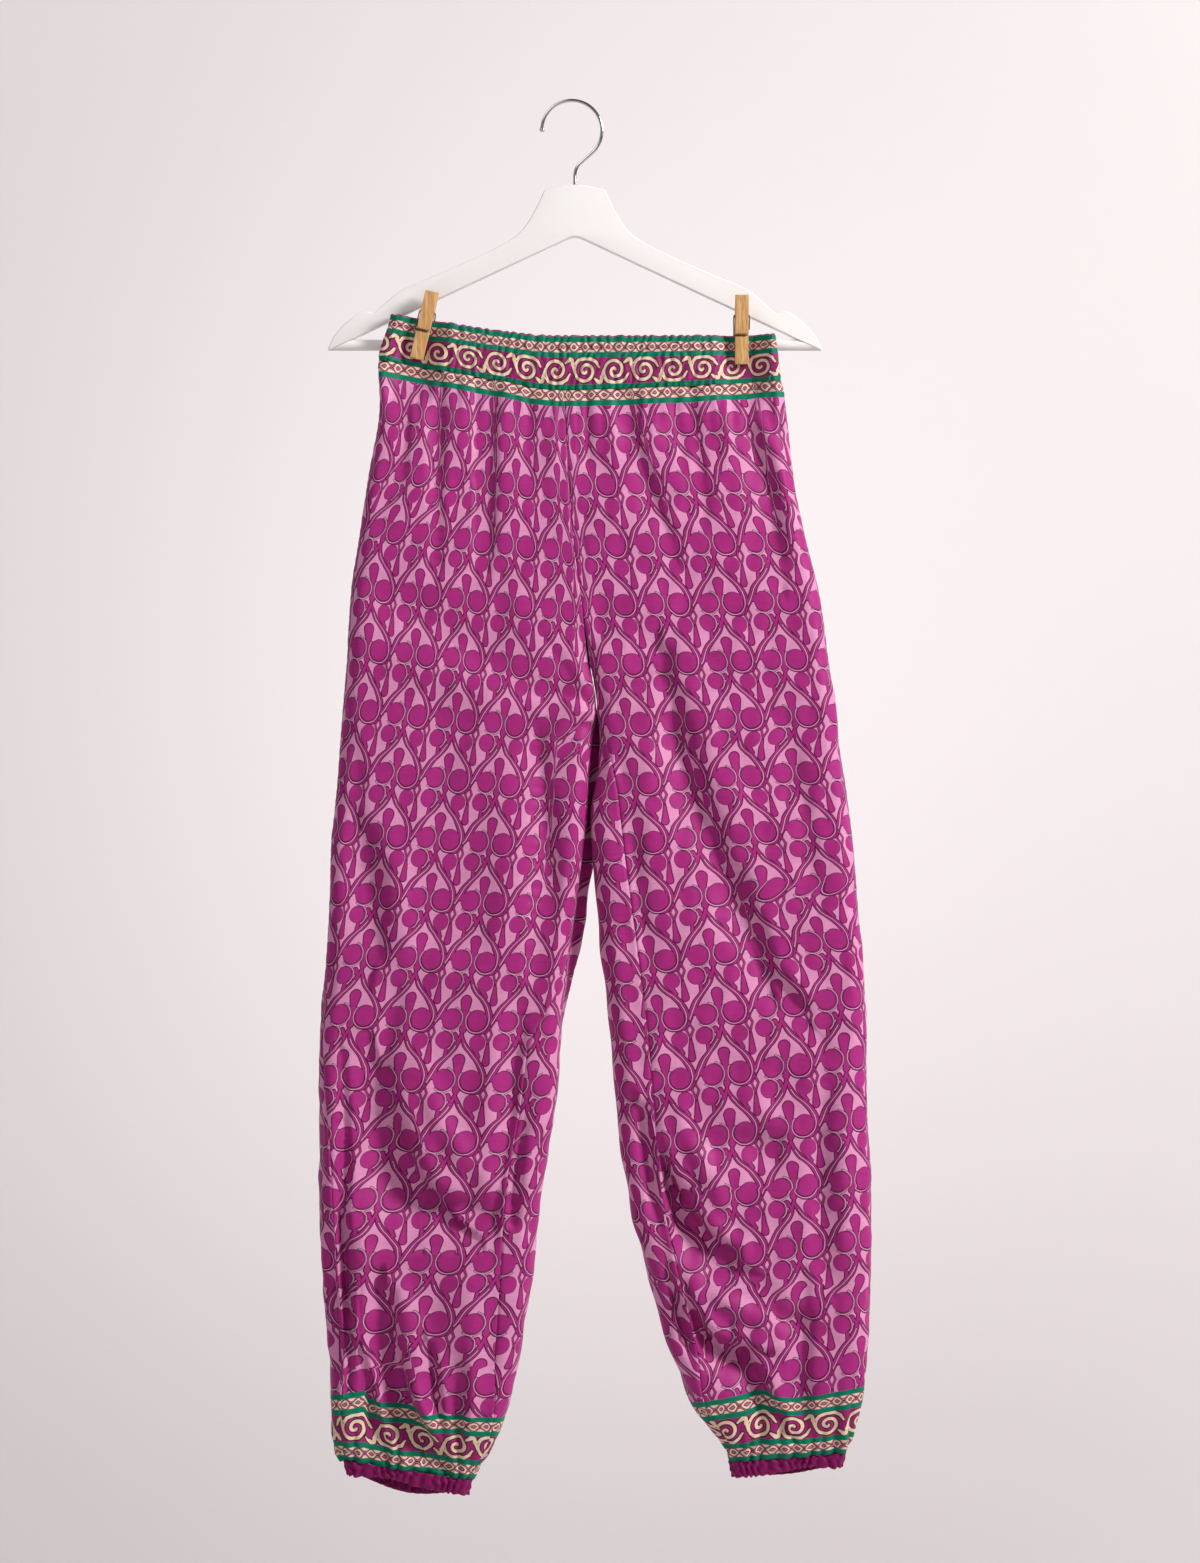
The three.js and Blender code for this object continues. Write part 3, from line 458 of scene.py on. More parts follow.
# A closed shell between an outer and an inner grid, with one UV map for each entry of maps.
def clothShell(name, outer, inner, maps, material, around=False):
    rows, columns = outer.shape[:2]
    wrap = columns if around else columns - 1

    def at(layer, i, j):
        return layer * rows * columns + i * columns + j % columns

    def quads(*corners):
        return np.stack(np.broadcast_arrays(*corners), axis=-1).reshape(-1, 4)

    i, j = np.meshgrid(np.arange(rows - 1), np.arange(wrap), indexing="ij")
    k, last, end = np.arange(wrap), rows - 1, columns - 1
    faces = [
        quads(at(0, i, j), at(0, i + 1, j), at(0, i + 1, j + 1), at(0, i, j + 1)),
        quads(at(1, i, j), at(1, i, j + 1), at(1, i + 1, j + 1), at(1, i + 1, j)),
        quads(at(0, 0, k), at(0, 0, k + 1), at(1, 0, k + 1), at(1, 0, k)),
        quads(at(0, last, k + 1), at(0, last, k), at(1, last, k), at(1, last, k + 1)),
    ]
    if not around:
        k = np.arange(rows - 1)
        faces.append(quads(at(0, k + 1, 0), at(0, k, 0), at(1, k, 0), at(1, k + 1, 0)))
        faces.append(quads(at(0, k, end), at(0, k + 1, end), at(1, k + 1, end), at(1, k, end)))
    faces = np.concatenate(faces)
    points = np.concatenate([outer.reshape(-1, 3), inner.reshape(-1, 3)]) * mm
    a, b, c, d = (points[faces[:, corner]] for corner in range(4))
    if np.sum(a * np.cross(b, c)) + np.sum(a * np.cross(c, d)) < 0:
        faces = faces[:, ::-1]
    mesh = bpy.data.meshes.new(name)
    mesh.from_pydata(points.tolist(), [], faces.tolist())
    mesh.shade_smooth()
    loops = faces.reshape(-1)
    for mapName, values in maps.items():
        flat = np.tile(values.reshape(-1, 2), (2, 1))[loops]
        mesh.uv_layers.new(name=mapName).data.foreach_set("uv", flat.astype(np.float32).ravel())
    return linkMesh(name, mesh, material)


# The outer and the inner grid of a wall, half its thickness to each side of the lifted points.
def bothSides(points, normals, lift, half):
    return points + normals * (lift + half)[..., None], points + normals * (lift - half)[..., None]


# where the print lies on the cloth
printRepeat = 53  # width and height of one repeat as printed, in millimetres
printRows = [  # height of each print row's apex, in rows from the waist
    [-301.5, 0], [-409.5, 2], [-514.8, 4], [-621, 6], [-726.3, 8], [-830.7, 10],
    [-938.7, 12], [-1045, 14], [-1099, 15], [-1153, 16], [-1207, 17], [-1261, 18],
]
printAxis = {  # one print column of each leg: its place and the columns' pitch, by height
    "left": [
        [-190, -51, 34], [-301.5, -51.5, 35.9], [-409.5, -53.2, 41.4], [-514.8, -58.7, 42.3],
        [-621, -69.7, 46.4], [-726.3, -83.5, 47.7], [-830.7, -100, 50.5], [-938.7, -112, 56],
        [-1045, -126.6, 58], [-1099, -137.9, 58.7], [-1165.5, -148.5, 58.7], [-1250, -160, 55],
    ],
    "right": [
        [-190, 2, 43], [-301.5, 10.6, 45.3], [-409.5, 26.1, 49], [-514.8, 41.6, 48.5],
        [-621, 54.3, 51.7], [-726.3, 62.1, 54], [-830.7, 76.9, 53.9], [-938.7, 87.9, 52.3],
        [-1045, 92.5, 53.8], [-1099, 95, 53.5], [-1165.5, 97, 53.5], [-1250, 99, 52],
    ],
}
printShift = {"front": 0, "back": 0.37}  # in repeats, so that the backs aren't cut just like the fronts
tuckColumns = ["x0", "z0", "x1", "z1", "hidden"]
tucks = {  # lines that some of the print disappears behind, and how many millimetres of it
    "left": [
        [-71.5, -262, -70.5, -425, 14],
        [-119, -262, -121, -420, 9],
        [-15, -560, -30, -740, 26],
        [-152, -870, -118, -990, 6],
        [-160, -1075, -120, -1200, 7],
    ],
    "right": [
        [50, -262, 90, -404, 12],
        [166, -290, 186, -418, 16],
        [92, -560, 142, -700, 10],
        [142, -700, 174, -785, 12],
        [62, -905, 106, -1010, 5],
        [92, -1055, 122, -1108, 5],
    ],
}


# A table's column at heights z, straight between its rows.
def atHeight(rows, column, z):
    return np.interp(-z, [-row[0] for row in rows], [row[column] for row in rows])


def hiddenCloth(name, x, z):
    hidden = np.zeros(np.broadcast(x, z).shape)
    centre = atHeight(printAxis[name], 1, z)
    for row in tucks[name]:
        t = dict(zip(tuckColumns, row))
        along = (z - t["z0"]) / (t["z1"] - t["z0"])
        line = mix(t["x0"], t["x1"], along)
        above = 1 if t["z0"] > -300 else smoothStep(along * 4 + 0.2)
        ends = above * smoothStep((1 - along) * 1.4)
        beyond = smoothStep(0.5 + (x - line) / 3) - (centre > line)
        hidden += t["hidden"] * ends * beyond
    return hidden


printSlope = {  # how far the print's rows drop to the right, by height
    "left": [[-190, 0.09], [-400, 0.12], [-600, 0.09], [-830, 0.04], [-1000, 0.02], [-1250, 0.02]],
    "right": [[-190, -0.02], [-480, -0.02], [-740, -0.12], [-1000, -0.12], [-1250, -0.1]],
}


def printCells(name, x, z, extra):
    axis, pitch = atHeight(printAxis[name], 1, z), atHeight(printAxis[name], 2, z)
    slope, rowAt = atHeight(printSlope[name], 1, z), atHeight(printRows, 1, z)
    rowAt = np.where(z > printRows[0][0], (printRows[0][0] - z) / printRepeat, rowAt)
    apart = x - axis
    return np.stack([(apart + extra) / pitch, rowAt - apart * slope / printRepeat], axis=-1)


nextTo = 0.15  # millimetres off a panel's edge where the cloth is read once more, for its direction


# leg panels
legCloth = {
    "rows": 340 if fine else 170,
    "columns": 96 if fine else 48,
    "seamGap": 0.1,
    "seamDip": 0.6,
    "seamReach": 2.0,
    "easeAtSeams": 8,
    "pucker": 0.22,
    "gatherPitch": 13,
    "gatherHeight": 1.5,
    "gatherRun": (85, 0.75, 9.5, 23),  # how far they run from the waist: millimetres, share, two pitches
    "hemPitch": 13,
    "hemHeight": 3.0,
    "hemRun": (70, 0.8, 7.3, 17),
    "hemPuff": 0.4,
    "foldDepth": 1.5,
    "deeperBelow": 0.9,  # how much deeper the folds lie in the lower legs
    "rougherBelow": 0.5,
    "unevenness": 1.2,
    "unevenPitch": 46,
    "crumple": 0.6,
    "crumplePitch": 21,
    "rimDrop": 0.7,  # how far the cloth turns in at the waist seam and at the hem
    "rimReach": 3,
}
pocket = {
    "top": -334,
    "bottom": -404,
    "slit": 2.6,
    "back": 7,
    "front": 10,
    "inside": 2.3,
    "past": 4,
    "wall": 0.7,
}
borderHeight = {  # how much height the border takes above each hem, from the outer edge to the inner
    "left": [[0, 58], [0.2, 66], [0.225, 57.5], [0.38, 55.5], [0.51, 52.5], [1, 56]],
    "right": [[0, 60], [0.4, 52], [0.6, 60], [1, 53]],
}
borderWidth = 64


def pocketSlit(z):
    along = np.clip((z - pocket["bottom"]) / (pocket["top"] - pocket["bottom"]), 0, 1)
    return pocket["slit"] * np.sqrt(np.sin(math.pi * along))


def legRow(leg, share):
    section = legSection(leg, mix(garment["riseTop"], leg["inner"], share))
    most = math.pi / 2 * (0.5 + 0.5 * section["fall"])
    level = np.cos(most)
    half = section["half1"]
    steep = np.arctan2(half * section["fall"] * (1 + level), rollWidth(half) * level)
    section["x1"] += leg["inward"] * (garment["wall"] / 2) * (1 - np.sin(steep))
    section["x1"] -= leg["inward"] * legCloth["seamGap"] / 2
    return section


def middleOutward(leg, points):
    middle = (leg["outerX"](points[..., 2]) + leg["innerX"](points[..., 2])) / 2
    away = (points[..., 1] - garment["midY"]) * 6
    return np.stack([points[..., 0] - middle, away, np.zeros(middle.shape)], axis=-1)


# Cloth behind the inseams bulges past them: it closes the gap under the crotch, and it shows
# beside the left leg.
bulge = {"from": 3.5, "fade": 10, "reach": 55}  # start and growth behind the middle, reach from the inseam
behindColumns = ["z", "left", "right"]
behind = [
    [-280, 0, 0],
    [-320, 2.5, -2.5],
    [-535, 2.5, -2.5],
    [-548, 8, -1],
    [-560, 12.5, 0],
    [-575, 15, 0],
    [-610, 12.5, 0],
    [-635, 10.3, 0],
    [-661, 13.5, 0],
    [-690, 15, 0],
    [-715, 13.5, 0],
    [-732, 14, 0],
    [-765, 12, 0],
    [-800, 7, 0],
    [-840, 2.5, 0],
    [-870, 0, 0],
]


def bulgeBehind(name, points):
    leg = legs[name]
    x, y, z = points[..., 0], points[..., 1], points[..., 2]
    fromInner = (leg["innerX"](z) - x) * leg["inward"]
    back = smoothStep((y - garment["midY"] - bulge["from"]) / bulge["fade"])
    share = back * smoothStep(1.1 - fromInner / bulge["reach"])
    moved = points.copy()
    moved[..., 0] = x + leg["inward"] * curveOf(behind, behindColumns, name)(z) * share
    return moved


# How far gathers run into the cloth, uneven along the seam.
def gatherRun(x, seed, most, share, short, long):
    return most * (share + 0.35 * np.sin(x / short + seed) + 0.2 * np.sin(x / long))


# How much more cloth than width lies up to each point, without its slow part: steep folds squeeze the print.
def clothInFolds(height, p):
    step = np.gradient(p, axis=1)
    slope = np.gradient(height, axis=1) / step
    extra = np.cumsum((np.sqrt(1 + slope**2) - 1) * step, axis=1)
    window = max(3, legCloth["columns"] // 4)
    kernel = np.hanning(window + 2)[1:-1]
    kernel /= kernel.sum()
    padded = np.pad(extra, ((0, 0), (window, window)), mode="reflect", reflect_type="odd")
    smoothed = np.stack([np.convolve(row, kernel, mode="same") for row in padded])[:, window:-window]
    return extra - smoothed


def legPanel(name, side, material):
    leg = legs[name]
    share = np.linspace(0, 1, legCloth["rows"])[:, None]
    section, facing = legRow(leg, share), "front" if side < 0 else "back"
    length = wallLength(section)
    outerTurn, innerTurn = leg["outerRoll"](section["zOuter"]), leg["innerRoll"](section["zInner"])
    slit = pocketSlit(section["zOuter"]) if name == "right" and side < 0 else 0
    begin = -side * outerTurn + legCloth["seamGap"] / 2 + slit
    end = length + side * innerTurn - np.where(section["fall"] == 1, legCloth["seamGap"] / 2, 0)
    p = mix(begin, end, np.linspace(0, 1, legCloth["columns"])[None, :])
    spot = legPoint(leg, section, p, side)
    x, z, points = spot["x"], spot["z"], bulgeBehind(name, spot["point"])
    afterFirst = bulgeBehind(name, legPoint(leg, section, begin + nextTo, side)["point"][:, 0])
    beforeLast = bulgeBehind(name, legPoint(leg, section, end - nextTo, side)["point"][:, 0])
    normals = gridNormals(points, middleOutward(leg, points), afterFirst, beforeLast)

    # cloth seen unrolled, so that the print goes on round the edges
    start = rollLength(rollWidth(section["half0"]), section["half0"]) - rollWidth(section["half0"])
    flatX = section["x0"] + leg["inward"] * (p - start)
    fromTop = casingBottom(x) - garment["casingGap"] - z
    across = np.clip((x - section["x0"]) / (section["x1"] - section["x0"]), 0, 1)
    sag = np.where(spot["wall"] > 0, leg["backSag"], 0) * (4 * across * (1 - across)) ** 2
    hemZ = mix(leg["outer"], leg["inner"], across) - sag
    bandHeight = np.interp(across, *np.array(borderHeight[name]).T)
    fromHem = (z - hemZ) * borderWidth / bandHeight

    front = spot["wall"] < 0
    folds = np.where(front, foldHeight(frontFolds, x, z), foldHeight(backFolds, x, z))
    folds = folds * legCloth["foldDepth"] * (1 + legCloth["deeperBelow"] * smoothStep((-z - 820) / 200))
    seed = 11 + 2 * (name == "right") + (side > 0)
    fromEdge = np.minimum(p - begin, end - p)
    inPanel = smoothStep(fromEdge / legCloth["easeAtSeams"])
    uneven = softWaves(flatX, z, legCloth["unevenPitch"], seed) * legCloth["unevenness"]
    uneven = uneven + softWaves(flatX, z, legCloth["crumplePitch"], seed + 3) * legCloth["crumple"]
    uneven = uneven * (1 + legCloth["rougherBelow"] * smoothStep((-z - 700) / 300))
    gatherFade = (1 - smoothStep(fromTop / gatherRun(flatX, seed, *legCloth["gatherRun"]))) ** 1.5
    gathers = unevenGathers(flatX, legCloth["gatherPitch"], seed) * legCloth["gatherHeight"] * gatherFade
    hemFade = (1 - smoothStep((z - hemZ) / gatherRun(flatX, seed, *legCloth["hemRun"]))) ** 1.4
    hemGathers = unevenGathers(flatX, legCloth["hemPitch"], seed + 5) * legCloth["hemHeight"] * hemFade
    edges = ridge(p - begin, legCloth["seamReach"]) + ridge(end - p, legCloth["seamReach"])
    pucker = legCloth["pucker"] * np.sin(z * 0.62 + 2 * np.sin(z * 0.11)) * np.exp(-fromEdge / 6)
    rim = (ridge(fromTop, legCloth["rimReach"]) + ridge(z - hemZ, legCloth["rimReach"])) * legCloth["rimDrop"]
    free = 1 - pegHold(x, z)
    atEdge = smoothStep(spot["out"] / section["half0"])
    lift = (folds * atEdge + uneven) * inPanel + gathers * inPanel + hemGathers * mix(0.35, 1, inPanel)
    lift = (lift + pucker) * free - legCloth["seamDip"] * edges - rim
    lift += (legCloth["hemHeight"] * legCloth["hemPuff"]) * hemFade * inPanel

    extra = clothInFolds(folds * atEdge * inPanel, p) * leg["inward"]
    if side < 0:
        extra = extra + hiddenCloth(name, flatX, z)
    cells = printCells(name, flatX, z, extra)
    cells[..., 0] += printShift[facing]
    maps = {
        "print": cells,
        "cloth": np.stack([flatX + extra, -z], axis=-1) * mm,
        "edges": np.stack([fromTop, fromHem], axis=-1) * mm,
    }
    outer, inner = bothSides(points, normals, lift, garment["wall"] / 2)
    return clothShell(f"leg_{facing}_{name}_cloth", outer, inner, maps, material)


def pocketStrip(material):
    leg = legs["right"]
    zOuter = np.linspace(pocket["top"] + pocket["past"], pocket["bottom"] - pocket["past"], 40)[:, None]
    share = (zOuter - leg["outerTop"]) / (leg["outer"] - leg["outerTop"])
    section = legRow(leg, share)
    p = np.linspace(-pocket["back"], pocket["front"], 14)[None, :] + 0 * zOuter
    points = legPoint(leg, section, p, -1)["point"]
    first = legPoint(leg, section, p[:, :1] + nextTo, -1)["point"][:, 0]
    last = legPoint(leg, section, p[:, -1:] - nextTo, -1)["point"][:, 0]
    outward = np.stack([np.ones(p.shape), (points[..., 1] - garment["midY"]) * 0.3, 0 * p], axis=-1)
    normals = gridNormals(points, outward, first, last)
    lift = 0.3 * np.sin(zOuter / 5) - pocket["inside"]
    outer, inner = bothSides(points, normals, lift, pocket["wall"] / 2)
    maps = {"cloth": np.stack([p, -zOuter + 0 * p], axis=-1) * mm}
    return clothShell("pocket_facing_cloth", outer, inner, maps, material)


# gathered casings
waistBand = {
    "columns": 420 if fine else 200,
    "rows": 30 if fine else 18,
    "wall": 1.4,
    "gatherPitch": 7.8,
    "gatherHeight": 1.5,
    "finePitch": 4.3,
    "fineHeight": 0.5,
    "pulledRows": 2.5,  # waves of the elastic's pull from top to bottom, and what it leaves of the gathers
    "pulled": (0.62, 0.38),
    "stitchDip": 0.75,
    "stitchLines": [(1, 0.97, 0.04), (0.35, 0.3, 0.03)],  # share of the dip, place and width
    "puff": 0.45,
    "foldedEdge": 0.05,
    "easeAtSeams": 6,
    "inset": 0.5,
    "edgeGap": 0.08,
    "scallop": 0.8,
    "borderShown": 50.7,  # millimetres of the border on the band
    "hidden": 1.15,  # length of cloth in a length of band
}
cuffBand = {
    "columns": 420 if fine else 220,
    "rows": 14,
    "wall": 1.3,
    "pitch": 7.6,
    "gatherHeight": 2.2,
    "gap": 0.2,
    "height": 14.3,
    "tuck": 3,
    "flatter": 0.12,
    "sunk": 0.7,
    "puff": 0.5,
    "foldedEdge": 0.12,
    "raised": 4,  # how far the front's lower edge is pulled up, and where
    "raisedAt": 0.34,
    "raisedWidth": 0.2,
    "scallop": 0.5,
}


def waistHalf(name, side, material):
    down = np.linspace(0, 1, waistBand["rows"])[:, None]
    endLeft, endRight = casingEdge[0][0], casingEdge[-1][0]
    zLeft = mix(casingTop(endLeft), casingBottom(endLeft), down)
    zRight = mix(casingTop(endRight), casingBottom(endRight), down)
    inset = waistBand["wall"] / 2 + waistBand["inset"]
    section = {
        "x0": legs["left"]["outerX"](zLeft) + inset,
        "x1": legs["right"]["outerX"](zRight) - inset,
        "half0": halfDepth(zLeft),
        "half1": halfDepth(zRight),
        "fall": np.ones(down.shape),
    }
    length = wallLength(section)

    def at(p):
        x, out = wallAt(section, p)
        return x, clothPoint(x, mix(casingTop(x), casingBottom(x), down), out, side)

    gap = waistBand["edgeGap"]
    p = mix(gap, length - gap, np.linspace(0, 1, waistBand["columns"])[None, :])
    x, points = at(p)
    first, last = at(p[:, :1] + nextTo)[1][:, 0], at(p[:, -1:] - nextTo)[1][:, 0]
    outward = np.stack([x * 0.02, side + 0 * x, 0 * x], axis=-1)
    normals = gridNormals(points, outward, first, last)
    seed = 31 if side < 0 else 47
    drift = 1.6 * np.sin(down * 7 + p / 21) + 1.1 * np.sin(down * 13 + p / 9)
    gathers = unevenGathers(p + drift, waistBand["gatherPitch"], seed)
    fineWaves = unevenGathers(p * 1.02 + 2.2 * np.sin(down * 9 + p / 14), waistBand["finePitch"], seed + 3)
    least, more = waistBand["pulled"]
    rowPull = least + more * np.cos(down * 2 * math.pi * waistBand["pulledRows"]) ** 2
    free = 1 - pegHold(x, points[..., 2])
    lift = (gathers * waistBand["gatherHeight"] + waistBand["fineHeight"] * fineWaves) * rowPull
    stitched = sum(part * ridge(down - place, width) for part, place, width in waistBand["stitchLines"])
    lift = lift * free * smoothStep(np.minimum(p, length - p) / waistBand["easeAtSeams"])
    lift = lift - waistBand["stitchDip"] * stitched
    lift = lift + waistBand["puff"] * np.sin(math.pi * np.clip(down * 1.02, 0, 1)) ** 0.6
    foldedEdge = 1 - (1 - np.clip(down / waistBand["foldedEdge"], 0, 1)) ** 2
    half = waistBand["wall"] / 2 * np.sqrt(np.clip(foldedEdge, 0.06, 1))
    outer, inner = bothSides(points, normals, lift, half)
    scallop = waistBand["scallop"] * unevenGathers(p, waistBand["gatherPitch"], seed) * (1 - down) ** 4 * free
    outer[..., 2] += scallop
    inner[..., 2] += scallop
    along = section["x0"] + p
    fromTop = down * waistBand["borderShown"] + 0 * p
    maps = {
        "cloth": np.stack([along * waistBand["hidden"], fromTop], axis=-1) * mm,
        "edges": np.stack([fromTop - waistBand["borderShown"] - 0.1, fromTop + 900], axis=-1) * mm,
    }
    return clothShell(name, outer, inner, maps, material)


def cuffRing(name, material):
    leg = legs[name]
    section = {key: float(np.ravel(value)[0]) for key, value in legRow(leg, np.array([[1.0]])).items()}
    length = float(wallLength(section))
    turn = np.arange(cuffBand["columns"]) / cuffBand["columns"]
    angle = 2 * math.pi * turn
    p = 2 * length * turn[None, :]
    around = np.where(p < length, p, p - 2 * length)
    spot = legPoint(leg, {key: np.array([[value]]) for key, value in section.items()}, around, -1)
    down = np.linspace(0, 1, cuffBand["rows"])[:, None]
    towards = (spot["x"] - (section["x0"] + section["x1"]) / 2) / (section["x1"] - section["x0"])
    x = spot["point"][..., 0] - 2 * towards * leg["inward"] * cuffBand["tuck"] * down
    y = mix(spot["point"][..., 1], garment["midY"], cuffBand["flatter"] * down)
    z = spot["point"][..., 2] - cuffBand["gap"] - cuffBand["height"] * down
    raised = ridge(spot["across"] - cuffBand["raisedAt"], cuffBand["raisedWidth"])
    z = z + np.where(spot["wall"] < 0, cuffBand["raised"], 0) * raised * down
    points = np.stack(np.broadcast_arrays(x, y, z), axis=-1)
    middle = (section["x0"] + section["x1"]) / 2
    outward = np.stack([x - middle, (y - garment["midY"]) * 5, 0 * x], axis=-1)
    normals = gridNormals(points, outward)
    seed = 61 if name == "left" else 73
    pitch = 2 * length / round(2 * length / cuffBand["pitch"])
    drift = 1.3 * np.sin(down * 5 + 6 * angle) + 0.8 * np.sin(down * 11 + 13 * angle)
    beats = 2 * math.pi * (p + drift) / pitch
    uneven = 0.75 + 0.25 * np.sin(9 * angle + seed)
    gathers = uneven * roundGathers(beats / 2 + 1.3 * np.sin(5 * angle))
    lift = gathers * cuffBand["gatherHeight"] * (0.7 + 0.3 * np.cos(down * 4 * math.pi)) - cuffBand["sunk"]
    lift = lift + cuffBand["puff"] * np.sin(math.pi * down) ** 0.5
    rim = np.clip(np.minimum(down, 1 - down) / cuffBand["foldedEdge"], 0, 1)
    half = cuffBand["wall"] / 2 * np.sqrt(np.clip(1 - (1 - rim) ** 2, 0.08, 1))
    outer, inner = bothSides(points, normals, lift, half)
    scallop = cuffBand["scallop"] * gathers * down**4
    outer[..., 2] -= scallop
    inner[..., 2] -= scallop
    maps = {"cloth": np.stack(np.broadcast_arrays(p, down * cuffBand["height"]), axis=-1) * mm}
    return clothShell(f"cuff_{name}_cloth", outer, inner, maps, material, around=True)


# hanger, hook and pegs
hanger = {
    "thick": 11,
    "round": 3.2,
    "halfLength": 222.3,
    "apexZ": -119.7,
    "tipZ": -224,
    "neckZ": -74.7,
}
armTop = [[27.5, -80], [36, -98], [50, -118], [74, -133], [117, -152.5], [154, -168.5], [170, -181]]
armEnd = [[180, -190], [189.5, -188], [204, -197.5], [216, -210.5]]
bar = {"radius": 5, "z": -218, "clear": 0.3, "sides": 48}
hook = {
    "wire": 1.5,
    "crown": 27,
    "centreX": -2.7,
    "tipBall": 2.5,
    "ballShift": (0.3, -1),
    "intoWood": 10,
}
hookShank = [[7.5, 0, -52.5], [2.2, 0, -58], [0.3, 0, -64], [0, 0, -70]]
peg = {
    "width": 12,
    "handle": 20,
    "jaw": 41,
    "thick": 6.5,
    "face": 1,
    "handleEnd": 6.15,
    "grooveLip": 0.8,
    "barSeat": 3.7,
    "pressY": -10,
    "round": 0.55,
}
pegHollow = {"radius": 11, "depth": 2.4, "at": -28}
spring = {
    "wire": 0.55,
    "coil": 2.7,
    "turns": 4,
    "groove": 3.75,
    "armAt": 15,
    "armDepth": 0.9,
    "armFlat": 1,
    "overEdge": 0.65,
    "overFace": 0.3,
}
armSlope = math.atan2(hanger["apexZ"] - hanger["tipZ"], hanger["halfLength"])


# A smooth path through points, with steps places between each two.
def smoothPath(points, steps):
    path = np.array(points, float)
    ends = np.concatenate([[2 * path[0] - path[1]], path, [2 * path[-1] - path[-2]]])
    pieces = []
    for k in range(len(path) - 1):
        a, b, c, d = ends[k : k + 4]
        t = np.linspace(0, 1, steps, endpoint=False)[:, None]
        square, cube = 2 * a - 5 * b + 4 * c - d, 3 * b - a - 3 * c + d
        pieces.append(0.5 * (2 * b + (c - a) * t + square * t**2 + cube * t**3))
    return np.concatenate(pieces + [path[-1:]])


# A plate cut to an outline, with its edges rounded; the outline lies in the plane of two axes.
def roundedPlate(name, outline, thick, edge, material, axes="xz", matrix=None):
    plate = bmesh.new()
    low, high = [], []
    for a, b in outline:
        for store, level in ((low, -thick / 2), (high, thick / 2)):
            point = (a, level, b) if axes == "xz" else (level, a, b)
            store.append(plate.verts.new(Vector(point) * mm))
    plate.faces.new(low)
    plate.faces.new(high)
    for k in range(len(low)):
        after = (k + 1) % len(low)
        plate.faces.new((low[k], low[after], high[after], high[k]))
    bmesh.ops.recalc_face_normals(plate, faces=plate.faces[:])
    mesh = bpy.data.meshes.new(name)
    plate.to_mesh(mesh)
    plate.free()
    piece = linkMesh(name, mesh, material)
    bevel = piece.modifiers.new("edges", "BEVEL")
    bevel.width, bevel.segments, bevel.limit_method = edge * mm, 5 if fine else 3, "ANGLE"
    bevel.angle_limit, bevel.harden_normals = math.radians(50), False
    applyModifiers(piece)
    if matrix is not None:
        piece.data.transform(matrix)
    shadeByAngle(piece.data, 40)
    return piece


def applyModifiers(piece):
    graph = bpy.context.evaluated_depsgraph_get()
    made = bpy.data.meshes.new_from_object(piece.evaluated_get(graph))
    piece.modifiers.clear()
    piece.data = made


def shadeByAngle(mesh, degrees):
    shape = bmesh.new()
    shape.from_mesh(mesh)
    for face in shape.faces:
        face.smooth = True
    for edge in shape.edges:
        edge.smooth = len(edge.link_faces) == 2 and edge.calc_face_angle() < math.radians(degrees)
    shape.to_mesh(mesh)
    shape.free()


# A round wire along a path, closed by a dome at each end.
def wire(name, path, radius, material, sides=14):
    path = np.asarray(path, float)
    along = np.gradient(path, axis=0)
    along /= np.linalg.norm(along, axis=1, keepdims=True)
    aside = np.cross(along[0], [0.31, 1, 0.17])
    rings, faces = [], []
    for k, point in enumerate(path):
        aside = aside - along[k] * aside.dot(along[k])
        aside /= np.linalg.norm(aside)
        across = np.cross(along[k], aside)
        for j in range(sides):
            turn = 2 * math.pi * j / sides
            rings.append(point + radius * (aside * math.cos(turn) + across * math.sin(turn)))
    for first in range(0, (len(path) - 1) * sides, sides):
        for j in range(sides):
            after = (j + 1) % sides
            faces.append((first + j, first + after, first + sides + after, first + sides + j))
    tips = [path[0] - along[0] * radius * 0.7, path[-1] + along[-1] * radius * 0.7]
    last = (len(path) - 1) * sides
    for j in range(sides):
        after = (j + 1) % sides
        faces.append((after, j, len(rings)))
        faces.append((last + j, last + after, len(rings) + 1))
    mesh = bpy.data.meshes.new(name)
    mesh.from_pydata([Vector(p) * mm for p in [*rings, *tips]], [], faces)
    mesh.shade_smooth()
    return linkMesh(name, mesh, material)


def hangerWood(material):
    tip, neckX, neckZ = hanger["halfLength"] - 0.6, armTop[0][0], armTop[0][1]

    def underside(x):
        return hanger["apexZ"] - x * math.tan(armSlope)

    right = np.concatenate([smoothPath(armTop, 6), smoothPath(armEnd, 5)])
    neck = []
    for x in np.linspace(-0.85, 0.85, 9) * neckX:
        neck.append([x, mix(neckZ, hanger["neckZ"], 1 - (x / neckX) ** 2)])
    low = [[tip - 0.4, underside(tip) + 1.5], [tip - 2, underside(tip - 2)]]
    arch = [[7, underside(7)], [3, underside(4.2)], [0, underside(3.2)], [-3, underside(4.2)]]
    arch.append([-7, underside(7)])
    mirror = [[-x, z] for x, z in right[::-1]]
    outline = [*neck, *right, *low, *arch, *[[-x, z] for x, z in low[::-1]], *mirror]
    return roundedPlate("hanger_wood", outline, hanger["thick"], hanger["round"], material)


